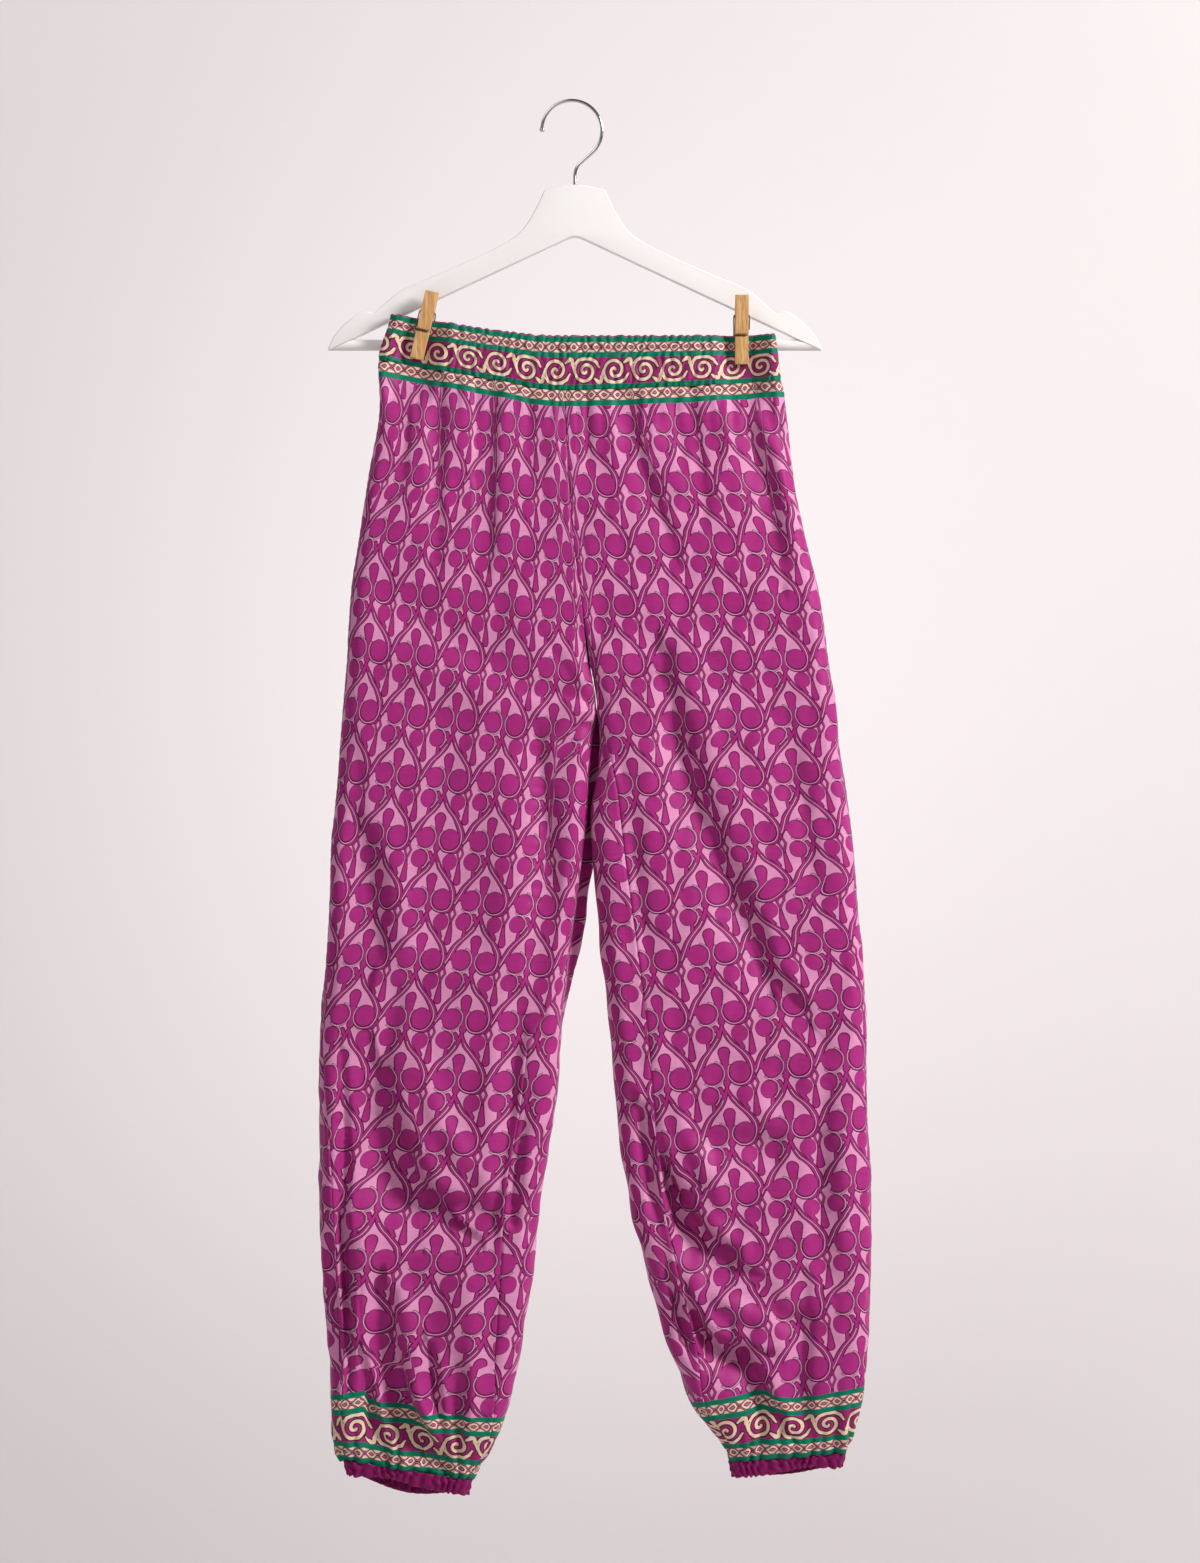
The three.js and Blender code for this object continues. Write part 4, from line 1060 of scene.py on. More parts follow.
def hangerDowel(material):
    sides, faces, points = bar["sides"], [], []
    for sign in (-1, 1):
        for j in range(sides):
            y = bar["radius"] * math.cos(2 * math.pi * j / sides)
            z = bar["z"] + bar["radius"] * math.sin(2 * math.pi * j / sides)
            reach = (hanger["apexZ"] - z) / math.tan(armSlope) - bar["clear"]
            points.append(Vector((sign * reach, y, z)) * mm)
    for j in range(sides):
        after = (j + 1) % sides
        faces.append((j, after, sides + after, sides + j))
    faces += [tuple(range(sides)), tuple(range(2 * sides - 1, sides - 1, -1))]
    mesh = bpy.data.meshes.new("hanger_dowel")
    mesh.from_pydata(points, [], faces)
    shadeByAngle(mesh, 40)
    return linkMesh("hanger_dowel", mesh, material)


def hookWire(material):
    centreZ = hook["wire"] - hook["crown"]
    points = []
    for degrees in range(176, -45, -11):
        turn = math.radians(degrees)
        x, z = hook["crown"] * math.cos(turn), hook["crown"] * math.sin(turn)
        points.append([hook["centreX"] + x, 0, centreZ + z])
    points += hookShank + [[0, 0, hanger["neckZ"] - hook["intoWood"]]]
    piece = wire("hook_wire", smoothPath(points, 5), hook["wire"], material, 20)
    ball = bmesh.new()
    ball.from_mesh(piece.data)
    right, up = hook["ballShift"]
    place = Matrix.Translation(Vector((points[0][0] + right, 0, points[0][2] + up)) * mm)
    radius = hook["tipBall"] * mm
    bmesh.ops.create_uvsphere(ball, u_segments=24, v_segments=16, radius=radius, matrix=place)
    ball.to_mesh(piece.data)
    ball.free()
    piece.data.shade_smooth()
    return piece


def arcPoints(centre, radius, first, last, steps):
    turns = np.linspace(first, last, steps)
    return [[centre[0] + radius * math.cos(t), centre[1] + radius * math.sin(t)] for t in turns]


# A wooden half of a peg from the side: outward from its middle plane, and along it.
def pegProfile():
    outer, face, groove = peg["face"] + peg["thick"], peg["face"], spring["groove"]
    lip = face + peg["grooveLip"]
    hollowX = face + pegHollow["depth"] - pegHollow["radius"]
    hollowTurn = math.acos((face - hollowX) / pegHollow["radius"])
    at, flat, depth = spring["armAt"], spring["armFlat"], spring["armDepth"]
    return [
        [outer, peg["handle"]],
        [peg["handleEnd"], peg["handle"]],
        [lip, groove + 1],
        *arcPoints((0, 0), groove, math.acos(lip / groove), -math.acos(face / groove), 12),
        [face, -groove - 0.6],
        *arcPoints((hollowX, pegHollow["at"]), pegHollow["radius"], hollowTurn, -hollowTurn, 12),
        [face, -peg["jaw"] + 1],
        [face + 1, -peg["jaw"]],
        [outer - 0.8, -peg["jaw"]],
        [outer, -peg["jaw"] + 0.8],
        [outer, -at - 1.4 * flat],
        [outer - depth, -at - flat],
        [outer - depth, -at + flat],
        [outer, -at + 1.4 * flat],
    ]


# How far each half turns about the spring: the front until its jaw presses on the cloth, the back
# until it lies on the bar.
def frontSwing(place):
    return math.asin((peg["pressY"] - place["y"] + peg["face"]) / (peg["jaw"] - 2))


def backSwing(place):
    drop = (place["z"] - bar["z"]) / math.cos(math.radians(place["lean"]))
    toBar = math.acos((peg["face"] - peg["barSeat"]) / math.hypot(place["y"], drop))
    return toBar - math.atan2(drop, -place["y"])


def pegMatrix(place):
    move = Matrix.Translation(Vector((place["x"], place["y"], place["z"])) * mm)
    return move @ Matrix.Rotation(math.radians(place["lean"]), 4, "Y")


def pegHalf(name, facing, material):
    place = pegPlace[name]
    swing = frontSwing(place) if facing == "front" else backSwing(place)
    matrix = pegMatrix(place) @ Matrix.Rotation(swing, 4, "X")
    if facing == "front":
        matrix = matrix @ Matrix.Rotation(math.pi, 4, "Z")
    outline, thick, edge = pegProfile(), peg["width"], peg["round"]
    return roundedPlate(f"peg_{name}_{facing}_wood", outline, thick, edge, material, "yz", matrix)


def pegSpring(name, material):
    place = pegPlace[name]
    front, back = frontSwing(place), backSwing(place)
    outer = peg["face"] + peg["thick"] - spring["armDepth"] + spring["wire"] + spring["overFace"]
    side = peg["width"] / 2 + spring["wire"] + spring["overEdge"]
    at = spring["armAt"]

    def arm(hand, angle):
        points = [
            [side, 0.45 * outer + 1.2, -0.4 * at],
            [side, outer - 1.6, 1.8 - at],
            [side, outer - 0.4, -at],
            [side - 0.7, outer, -at],
            [2.5 - side, outer, -at],
        ]
        turned = [Matrix.Rotation(angle, 3, "X") @ Vector((hand * x, hand * y, z)) for x, y, z in points]
        return [list(point) for point in turned]

    steps = spring["turns"] * 16 + 8
    coil = []
    for k in range(steps + 1):
        turn = math.pi * (1 - k / steps * (2 * spring["turns"] + 1))
        y, z = spring["coil"] * math.cos(turn), spring["coil"] * math.sin(turn)
        coil.append([mix(-side, side, k / steps), y, z])
    path = smoothPath([*arm(-1, front)[::-1], *coil, *arm(1, back)], 4)
    piece = wire(f"peg_{name}_spring_wire", path, spring["wire"], material, 10)
    piece.data.transform(pegMatrix(place))
    return piece


# materials
def screenColor(red, green, blue):
    def linear(c):
        c /= 255
        return c / 12.92 if c <= 0.04045 else ((c + 0.055) / 1.055) ** 2.4

    return (linear(red), linear(green), linear(blue), 1)


# Places and links nodes in one tree.
class Wiring:
    def __init__(self, tree):
        self.tree = tree

    def put(self, socket, value):
        if isinstance(value, bpy.types.NodeSocket):
            self.tree.links.new(value, socket)
        elif value is not None:
            socket.default_value = value

    def node(self, kind, inputs=(), **settings):
        made = self.tree.nodes.new("ShaderNode" + kind)
        for name, value in settings.items():
            setattr(made, name, value)
        for key, value in dict(inputs).items():
            self.put(made.inputs[key], value)
        return made

    def math(self, operation, a, b=None, c=None):
        return self.node("Math", {0: a, 1: b, 2: c}, operation=operation).outputs[0]

    def vector(self, operation, a, b=None, c=None, scale=None):
        made = self.node("VectorMath", {0: a, 1: b, 2: c, 3: scale}, operation=operation)
        return made.outputs["Value" if operation in ("LENGTH", "DOT_PRODUCT") else "Vector"]

    def plus(self, a, b):
        return self.math("ADD", a, b)

    def minus(self, a, b):
        return self.math("SUBTRACT", a, b)

    def times(self, a, b):
        return self.math("MULTIPLY", a, b)

    def over(self, a, b):
        return self.math("DIVIDE", a, b)

    def lowest(self, *values):
        low = values[0]
        for value in values[1:]:
            low = self.math("MINIMUM", low, value)
        return low

    def highest(self, *values):
        high = values[0]
        for value in values[1:]:
            high = self.math("MAXIMUM", high, value)
        return high

    def split(self, place):
        return self.node("SeparateXYZ", {0: place}).outputs

    def uvMap(self, name):
        return self.node("UVMap", uv_map=name).outputs[0]

    def noise(self, place, scale, detail, stretch=None):
        if stretch:
            place = self.vector("MULTIPLY", place, stretch)
        return self.node("TexNoise", {"Vector": place, "Scale": scale, "Detail": detail}).outputs

    def bump(self, height, strength, distance):
        return self.node("Bump", {"Height": height, "Strength": strength, "Distance": distance}).outputs[0]

    # from one value to another as the input goes from low to high, with soft ends
    def fade(self, value, low, high, start, end):
        inputs = {0: value, 1: low, 2: high, 3: start, 4: end}
        return self.node("MapRange", inputs, interpolation_type="SMOOTHSTEP").outputs[0]

    # distance to a tapering line with round ends, from a place by (toX, toY)
    def stroke(self, spot, toX, toY, start, end):
        reach = math.hypot(toX, toY)
        step = (toX / reach, toY / reach, 0)
        along = self.vector("DOT_PRODUCT", spot, step)
        clear = self.node("Clamp", {"Value": along, "Min": 0, "Max": reach}).outputs[0]
        away = self.vector("SUBTRACT", spot, self.vector("SCALE", step, scale=clear))
        half = self.math("MULTIPLY_ADD", clear, (end - start) / reach, start)
        return self.minus(self.vector("LENGTH", away), half)

    # 1 inside a shape whose edge lies at distance 0, with a soft edge
    def inside(self, distance, soft=0.4):
        inputs = {0: distance, 1: -1 / soft, 2: 0.5}
        return self.node("Math", inputs, operation="MULTIPLY_ADD", use_clamp=True).outputs[0]

    # 1 on the edge of a shape
    def edge(self, distance, half, soft=0.4):
        return self.inside(self.minus(self.math("ABSOLUTE", distance), half), soft)

    def paint(self, under, over, mask):
        made = self.node("Mix", data_type="RGBA")
        self.put(made.inputs[0], mask)
        self.put(made.inputs[6], under)
        self.put(made.inputs[7], over)
        return made.outputs[2]

    # a curve through points, over 0 to 1
    def curve(self, value, points, low, high):
        made = self.node("FloatCurve", {"Value": value})
        line = made.mapping.curves[0]
        scaled = [(x, (y - low) / (high - low)) for x, y in points]
        line.points[0].location, line.points[1].location = scaled[0], scaled[-1]
        for point in scaled[1:-1]:
            line.points.new(*point)
        made.mapping.update()
        return self.math("MULTIPLY_ADD", made.outputs[0], high - low, low)

    def ramp(self, value, stops, interpolation="CONSTANT"):
        made = self.node("ValToRGB", {"Fac": value})
        made.color_ramp.interpolation = interpolation
        elements = made.color_ramp.elements
        elements[0].position, elements[0].color = stops[0]
        elements[1].position, elements[1].color = stops[-1]
        for position, color in stops[1:-1]:
            elements.new(position).color = color
        return made.outputs["Color"]


def nodeGroup(name, inputs, outputs):
    tree = bpy.data.node_groups.new(name, "ShaderNodeTree")
    for label, kind, value in inputs:
        socket = tree.interface.new_socket(label, in_out="INPUT", socket_type="NodeSocket" + kind)
        if value is not None:
            socket.default_value = value
    for label, kind in outputs:
        tree.interface.new_socket(label, in_out="OUTPUT", socket_type="NodeSocket" + kind)
    return Wiring(tree), tree.nodes.new("NodeGroupInput"), tree.nodes.new("NodeGroupOutput")


silkColors = {
    "ground": screenColor(216, 142, 184),
    "dot": screenColor(166, 42, 122),
    "line": screenColor(88, 16, 62),
    "pale": screenColor(220, 160, 194),
    "green": screenColor(2, 116, 90),
    "cream": screenColor(226, 200, 172),
    "border": screenColor(150, 36, 104),
    "plum": screenColor(54, 10, 38),
    "pink": screenColor(184, 92, 134),
    "cuff": screenColor(124, 16, 84),
}
chainPrint = {  # places in shares of the repeat, sizes in millimetres
    "rightDot": (0.238, 0.806, 9.3),
    "leftDot": (-0.222, 0.8, 8.8),
    "rightBead": (0.288, 0.178, 7.1),
    "leftBead": (-0.298, 0.15, 7.4),
    "rightStrand": [
        (0, 0), (0.1, 0.025), (0.23, 0.085), (0.325, 0.153), (0.4, 0.232), (0.494, 0.322),
        (0.608, 0.4), (0.718, 0.44), (0.823, 0.445), (1, 0.42),
    ],
    "leftTop": [(0, 0), (0.1, -0.022), (0.163, -0.042), (0.263, -0.09), (0.377, -0.177), (0.47, -0.269)],
    "leftStrand": [(0.566, -0.345), (0.686, -0.404), (1, -0.44)],
    "tail": [(0.566, -0.35), (0.686, -0.415), (0.806, -0.475), (0.92, -0.56), (1, -0.66)],
    "width": [(0, 0.5), (0.1, 1.2), (0.2, 1.9), (0.35, 2.4), (0.6, 2.6), (0.77, 2.5), (1, 2.2)],
    "slopes": (0.82, 0.74),  # how much narrower the strands and the tail are for their slant
    "leftInside": 0.5,
    "tailOutside": 1.6,
    "tailEnd": 0.95,
    "strandPaleFrom": 0.2,
    "tailPale": (0.24, 0.85),
    "wobbleScale": 2.6,
    "wobble": 0.05,
    "pale": 0.34,
    "line": 0.46,
    "fineLine": 0.56,
    "ring": 1.55,
    "ringEdge": 1.2,
    "ringBeside": 2.0,  # how much wider the ring is to the right of its dot
    "ringGap": (0.5, 6),
    "ringSides": [("leftDot", -0.86, -0.5, 2), ("leftBead", -0.95, 0.2, -3)],  # the side, and from where
    "drops": [  # place, reach across and down, radius at the start and the end
        (0, 0.48, 0, 19, 5.3, 1.1),
        (0.01, 0.965, 0, -11, 3.2, 1.0),
        (-0.53, 0.49, 0, -19, 3.4, 0.6),
        (0.215, 0.235, 6, 9.5, 2.4, 1.5),
        (-0.226, 0.216, -1.5, 9.5, 2.4, 1.5),
        (-0.115, 0.065, 4.6, 6, 2.5, 0.7),
    ],
    "diamond": (-0.53, 0.03, 3.0, 7.0),
    "diamondSize": 2.4,
    "diamondLines": (1.1, 0.4),
    "diamondLine": 0.9,
}


def chainPrintGroup():
    inputs = [("Cells", "Vector", None)]
    for label, color in (("Ground", "ground"), ("Shape", "dot"), ("Line", "line"), ("Pale", "pale")):
        inputs.append((label, "Color", silkColors[color]))
    group, source, target = nodeGroup("chain print", inputs, [("Color", "Color")])
    most = chainPrint["wobble"]
    wobble = group.noise(source.outputs["Cells"], chainPrint["wobbleScale"], 2)["Color"]
    wobble = group.vector("MULTIPLY_ADD", wobble, (most, most, 0), (-most / 2, -most / 2, 0))
    cells = group.vector("ADD", source.outputs["Cells"], wobble)
    split = group.split(cells)
    u, v = split[0], group.math("FRACT", split[1])

    def local(cx, cv):
        apart = group.vector("SUBTRACT", cells, (cx, cv, 0))
        apart = group.vector("WRAP", apart, (0.5, 0.5, 0.5), (-0.5, -0.5, -0.5))
        return group.vector("MULTIPLY", apart, (printRepeat, printRepeat, 0))

    def sideways(points, slope):
        place = group.curve(v, points, -0.75, 0.5)
        apart = group.math("WRAP", group.minus(u, place), 0.5, -0.5)
        return group.times(apart, printRepeat * slope)

    def between(value, low, high):
        return group.highest(group.minus(value, high), group.minus(low, value))

    def before(end):
        return group.times(group.minus(v, end), printRepeat)

    def after(start):
        return group.times(group.minus(start, v), printRepeat)

    def disc(cx, cv, radius):
        return group.minus(group.vector("LENGTH", local(cx, cv)), radius)

    def facing(cx, cv, toX, toY):
        return group.vector("DOT_PRODUCT", local(cx, cv), (toX, toY, 0))

    discs = {name: disc(*chainPrint[name]) for name in ("rightDot", "leftDot", "rightBead", "leftBead")}
    shapes = list(discs.values())
    shapes += [group.stroke(local(cx, cv), *drop) for cx, cv, *drop in chainPrint["drops"]]

    # strands: two bands with a pale line between them, one of them ending in the dot below
    width = group.curve(v, chainPrint["width"], 0, 3.5)
    narrow = group.times(width, -1)
    steep, steeper = chainPrint["slopes"]
    right = sideways(chainPrint["rightStrand"], steep)
    left = group.times(sideways(chainPrint["leftTop"] + chainPrint["leftStrand"], steep), -1)
    tail = group.times(sideways(chainPrint["leftTop"] + chainPrint["tail"], steeper), -1)
    ends, (tailStart, tailStop) = chainPrint["rightDot"][1], chainPrint["tailPale"]
    shapes.append(group.highest(between(right, narrow, width), before(ends)))
    shapes.append(group.highest(between(left, narrow, chainPrint["leftInside"]), before(ends)))
    tailBand = between(tail, -chainPrint["tailOutside"], width)
    shapes.append(group.highest(tailBand, before(chainPrint["tailEnd"])))
    pales = [
        group.highest(group.math("ABSOLUTE", right), before(ends), after(chainPrint["strandPaleFrom"])),
        group.highest(group.math("ABSOLUTE", tail), before(tailStop), after(tailStart)),
    ]

    # rings: all round the lower side of the right dot, and beside the left dot and bead
    ring = chainPrint["ring"]
    cx, cv, radius = chainPrint["rightDot"]
    above, beside = facing(cx, cv, 0, -1), facing(cx, cv, 1 / radius, 0)
    band = group.math("MAXIMUM", beside, 0)
    band = group.math("MULTIPLY_ADD", band, chainPrint["ringBeside"], ring + chainPrint["ringEdge"])
    shapes.append(group.highest(between(discs["rightDot"], 0, band), above))
    least, more = chainPrint["ringGap"]
    gap = group.math("MULTIPLY_ADD", group.math("LESS_THAN", beside, 0), more, least)
    rings = [(discs["rightDot"], group.minus(above, gap))]
    for name, toX, toY, start in chainPrint["ringSides"]:
        side = group.minus(facing(*chainPrint[name][:2], toX, toY), start)
        rings.append((discs[name], side))
    for dot, side in rings:
        pales.append(group.highest(group.math("ABSOLUTE", group.minus(dot, ring)), side))
    shape, dots = group.lowest(*shapes), group.lowest(*discs.values())
    pale = group.minus(group.lowest(*pales), chainPrint["pale"])
    cx, cv, halfWide, halfTall = chainPrint["diamond"]
    sides = group.split(group.vector("ABSOLUTE", local(cx, cv)))
    diamond = group.plus(group.over(sides[0], halfWide), group.over(sides[1], halfTall))
    diamond = group.times(group.minus(diamond, 1), chainPrint["diamondSize"])

    line = source.outputs["Line"]
    color = group.paint(source.outputs["Ground"], source.outputs["Shape"], group.inside(shape))
    color = group.paint(color, line, group.edge(shape, chainPrint["line"]))
    color = group.paint(color, line, group.inside(group.minus(pale, chainPrint["fineLine"])))
    color = group.paint(color, source.outputs["Pale"], group.inside(pale))
    color = group.paint(color, source.outputs["Shape"], group.inside(dots))
    besidePale = group.inside(group.minus(pale, 1.5), 0.8)
    bordered = group.times(group.edge(dots, chainPrint["line"]), besidePale)
    color = group.paint(color, line, bordered)
    outside, inside = chainPrint["diamondLines"]
    faded = group.times(group.edge(diamond, outside), chainPrint["diamondLine"])
    color = group.paint(color, line, faded)
    color = group.paint(color, source.outputs["Shape"], group.edge(diamond, inside))
    group.put(target.inputs["Color"], color)
    return group.tree


borderPlan = {  # millimetres from the outer edge
    "width": borderWidth,
    "plainEdge": 1.2,
    "stripes": [
        (0, "green"), (5.2, "wave"), (14.5, "green"), (19.5, "scroll"),
        (44.5, "green"), (49.5, "wave"), (59, "green"),
    ],
    "waves": [  # bands of a wave stripe, from its middle out
        (0, "pink"), (1.2, "plum"), (2.0, "cream"), (4.0, "plum"),
        (4.8, "pink"), (5.8, "plum"), (6.5, "cream"),
    ],
    "waveReach": 9,
    "waveMiddles": (9.9, 54.2),
    "wavePitch": 11.5,
    "waveSwing": 2.2,
    "waveWander": (0.12, 3),  # scale and amount
    "scrollPitch": 30,
    "scrollMiddle": 32,
    "spiralPitch": 7.4,
    "spiralReach": 11.6,
    "stroke": 1.5,
    "flourish": [  # tapering strokes: from, to and the two half widths
        (-14.5, -10, -12.5, -4, 2.3, 1.5), (-12.5, -4, -11.5, 2, 1.5, 0.5), (-11, -6.5, -7.5, -10, 0.9, 1.5),
        (-7.5, -10, -1, -11.6, 1.5, 1.7), (-1, -11.6, 6, -11, 1.7, 1.6), (6, -11, 11, -8, 1.6, 1.4),
        (11, -8, 14, -3, 1.4, 0.8), (9.5, 7.5, 14.5, 11, 0.9, 2.2),
    ],
}


def borderGroup():
    inputs = [("Along", "Float", 0), ("Across", "Float", 0)]
    group, source, target = nodeGroup("striped border", inputs, [("Color", "Color")])
    along, across = source.outputs["Along"], source.outputs["Across"]
    codes = {"green": (1, 0, 0, 1), "wave": (0, 1, 0, 1), "scroll": (0, 0, 1, 1)}
    stops = [(place / borderPlan["width"], codes[kind]) for place, kind in borderPlan["stripes"]]
    stripe = group.ramp(group.over(across, borderPlan["width"]), stops)
    stripe = group.node("SeparateColor", {0: stripe}).outputs

    # waves: bands that swing apart and together about the middle of the stripe
    first, last = borderPlan["waveMiddles"]
    late = group.math("GREATER_THAN", across, (first + last) / 2)
    height = group.minus(across, group.math("MULTIPLY_ADD", late, last - first, first))
    scale, amount = borderPlan["waveWander"]
    wander = group.noise(group.node("CombineXYZ", {0: along, 1: across}).outputs[0], scale, 1)[0]
    beats = group.times(along, 2 * math.pi / borderPlan["wavePitch"])
    beats = group.math("MULTIPLY_ADD", wander, amount, beats)
    swing = group.times(group.math("COSINE", beats), borderPlan["waveSwing"])
    away = group.plus(group.math("ABSOLUTE", height), group.plus(swing, borderPlan["waveSwing"]))
    reach = borderPlan["waveReach"]
    stops = [(place / reach, silkColors[color]) for place, color in borderPlan["waves"]]
    wave = group.ramp(group.over(away, reach), stops)

    # scroll: a spiral with a flourish in each repeat, turned over in every other one
    pitch = borderPlan["scrollPitch"]
    bend = group.math("FLOOR", group.over(along, pitch))
    px = group.minus(group.minus(along, group.times(bend, pitch)), pitch / 2)
    turned = group.math("MULTIPLY_ADD", group.math("MODULO", group.math("ABSOLUTE", bend), 2), -2, 1)
    py = group.times(group.minus(across, borderPlan["scrollMiddle"]), turned)
    spot = group.node("CombineXYZ", {0: px, 1: py}).outputs[0]
    radius = group.vector("LENGTH", spot)
    angle = group.over(group.math("ARCTAN2", py, px), 2 * math.pi)
    turn = group.minus(group.over(radius, borderPlan["spiralPitch"]), angle)
    spiral = group.math("ABSOLUTE", group.math("WRAP", turn, 0.5, -0.5))
    spiral = group.times(spiral, borderPlan["spiralPitch"])
    outside = group.minus(radius, borderPlan["spiralReach"] - borderPlan["stroke"])
    strokes = [group.minus(group.math("MAXIMUM", spiral, outside), borderPlan["stroke"])]
    for fromX, fromY, toX, toY, start, end in borderPlan["flourish"]:
        apart = group.vector("SUBTRACT", spot, (fromX, fromY, 0))
        strokes.append(group.stroke(apart, toX - fromX, toY - fromY, start, end))
    stroke = group.lowest(*strokes)
    outlined = group.inside(group.minus(stroke, 1.0), 0.5)
    scroll = group.paint(silkColors["border"], silkColors["plum"], outlined)
    scroll = group.paint(scroll, silkColors["cream"], group.inside(stroke, 0.5))

    color = group.paint(silkColors["border"], silkColors["green"], stripe[0])
    color = group.paint(color, wave, stripe[1])
    color = group.paint(color, scroll, stripe[2])
    color = group.paint(silkColors["border"], color, group.math("GREATER_THAN", across, 0))
    group.put(target.inputs["Color"], color)
    return group.tree


silkWeave = {
    "threads": 950,
    "slubs": 26,
    "contrast": 0.16,
    "mottle": 0.1,
    "mottleScale": 90,
    "height": 0.00012,
    "bump": 0.35,
    "roughness": 0.5,
    "specular": 0.14,
    "sheen": 0.07,
    "sheenRoughness": 0.35,
    "sheenTint": (1, 0.85, 0.95, 1),
}


# Fine uneven threads across the cloth, and a little wear in the print.
def weaveGroup():
    inputs = [("Cloth", "Vector", None), ("Color", "Color", (1, 1, 1, 1))]
    group, source, target = nodeGroup("slubbed weave", inputs, [("Color", "Color"), ("Height", "Float")])
    cloth, fine, long = source.outputs["Cloth"], silkWeave["threads"], silkWeave["slubs"] * 2
    weft = group.noise(cloth, 1, 2, (long, fine, 1))[0]
    warp = group.noise(cloth, 1, 1, (fine, long, 1))[0]
    cloudy = group.noise(cloth, silkWeave["mottleScale"], 3)[0]

    # about 1, and darker or lighter by a share
    def about(value, share):
        return group.math("MULTIPLY_ADD", value, share * 2, 1 - share)

    threads = group.times(about(weft, silkWeave["contrast"]), about(warp, silkWeave["contrast"] / 2))
    threads = group.times(threads, about(cloudy, silkWeave["mottle"]))
    scaled = group.node("CombineXYZ", {0: threads, 1: threads, 2: threads}).outputs[0]
    group.put(target.inputs["Color"], group.vector("MULTIPLY", source.outputs["Color"], scaled))
    group.put(target.inputs["Height"], group.plus(weft, group.times(warp, 0.5)))
    return group.tree


groups = {"print": chainPrintGroup(), "border": borderGroup(), "weave": weaveGroup()}


def newMaterial(name):
    material = bpy.data.materials.new(name)
    material.use_nodes = True
    return material, Wiring(material.node_tree), material.node_tree.nodes["Principled BSDF"]


def silkFinish(wiring, shader, color, cloth):
    weave = wiring.node("Group", {"Cloth": cloth, "Color": color}, node_tree=groups["weave"])
    normal = wiring.bump(weave.outputs["Height"], silkWeave["bump"], silkWeave["height"])
    wiring.put(shader.inputs["Base Color"], weave.outputs["Color"])
    wiring.put(shader.inputs["Normal"], normal)
    shader.inputs["Roughness"].default_value = silkWeave["roughness"]
    shader.inputs["Specular IOR Level"].default_value = silkWeave["specular"]
    shader.inputs["Sheen Weight"].default_value = silkWeave["sheen"]
    shader.inputs["Sheen Roughness"].default_value = silkWeave["sheenRoughness"]
    shader.inputs["Sheen Tint"].default_value = silkWeave["sheenTint"]


inMillimetres = 1000


# the repeat, with the border at the waist and at the hem
def legSilk():
    material, wiring, shader = newMaterial("printed silk")
    cloth, edges = wiring.uvMap("cloth"), wiring.split(wiring.uvMap("edges"))
    body = wiring.node("Group", {"Cells": wiring.uvMap("print")}, node_tree=groups["print"])
    shown = waistBand["borderShown"] - borderPlan["plainEdge"]
    fromTop = wiring.math("MULTIPLY_ADD", edges[0], inMillimetres, shown)
    fromHem = wiring.times(edges[1], inMillimetres)
    top = wiring.math("LESS_THAN", fromTop, borderWidth)
    hem = wiring.math("LESS_THAN", fromHem, borderWidth)
    across = wiring.times(fromHem, wiring.minus(1, top))
    across = wiring.plus(wiring.times(fromTop, top), across)
    along = wiring.times(wiring.split(cloth)[0], inMillimetres)
    border = wiring.node("Group", {"Along": along, "Across": across}, node_tree=groups["border"])
    color = wiring.paint(body.outputs[0], border.outputs[0], wiring.math("MAXIMUM", top, hem))
    silkFinish(wiring, shader, color, cloth)
    return material


def waistSilk():
    material, wiring, shader = newMaterial("border silk")
    cloth = wiring.uvMap("cloth")
    place = wiring.split(cloth)
    along = wiring.times(place[0], inMillimetres)
    across = wiring.math("MULTIPLY_ADD", place[1], inMillimetres, -borderPlan["plainEdge"])
    border = wiring.node("Group", {"Along": along, "Across": across}, node_tree=groups["border"])
    silkFinish(wiring, shader, border.outputs[0], cloth)
    return material


def cuffSilk():
    material, wiring, shader = newMaterial("plain silk")
    silkFinish(wiring, shader, silkColors["cuff"], wiring.uvMap("cloth"))
    return material


paintLook = {
    "colors": (screenColor(246, 243, 242), screenColor(238, 234, 233)),
    "clouds": 14,
    "grain": (30, 300, 300),
    "bump": 0.12,
    "height": 0.0002,
    "roughness": 0.34,
    "uneven": 0.15,
}


def paintedWood():
    material, wiring, shader = newMaterial("white paint")
    place = wiring.node("TexCoord").outputs["Object"]
    cloudy = wiring.noise(place, paintLook["clouds"], 4)[0]
    grain = wiring.noise(place, 1, 3, paintLook["grain"])[0]
    roughness = wiring.math("MULTIPLY_ADD", cloudy, paintLook["uneven"], paintLook["roughness"])
    wiring.put(shader.inputs["Base Color"], wiring.paint(*paintLook["colors"], cloudy))
    wiring.put(shader.inputs["Normal"], wiring.bump(grain, paintLook["bump"], paintLook["height"]))
    wiring.put(shader.inputs["Roughness"], roughness)
    return material


pegLook = {
    "ringScale": (260, 260, 9),
    "rings": [
        (0.3, screenColor(214, 168, 110)),
        (0.5, screenColor(200, 148, 90)),
        (0.7, screenColor(222, 180, 124)),
    ],
    "streakScale": (900, 900, 38),
    "streak": screenColor(150, 98, 54),
    "streakFrom": 0.42,
    "streakShare": 0.55,
    "bump": 0.4,
    "height": 0.0002,
    "roughness": 0.52,
    "uneven": 0.2,
}


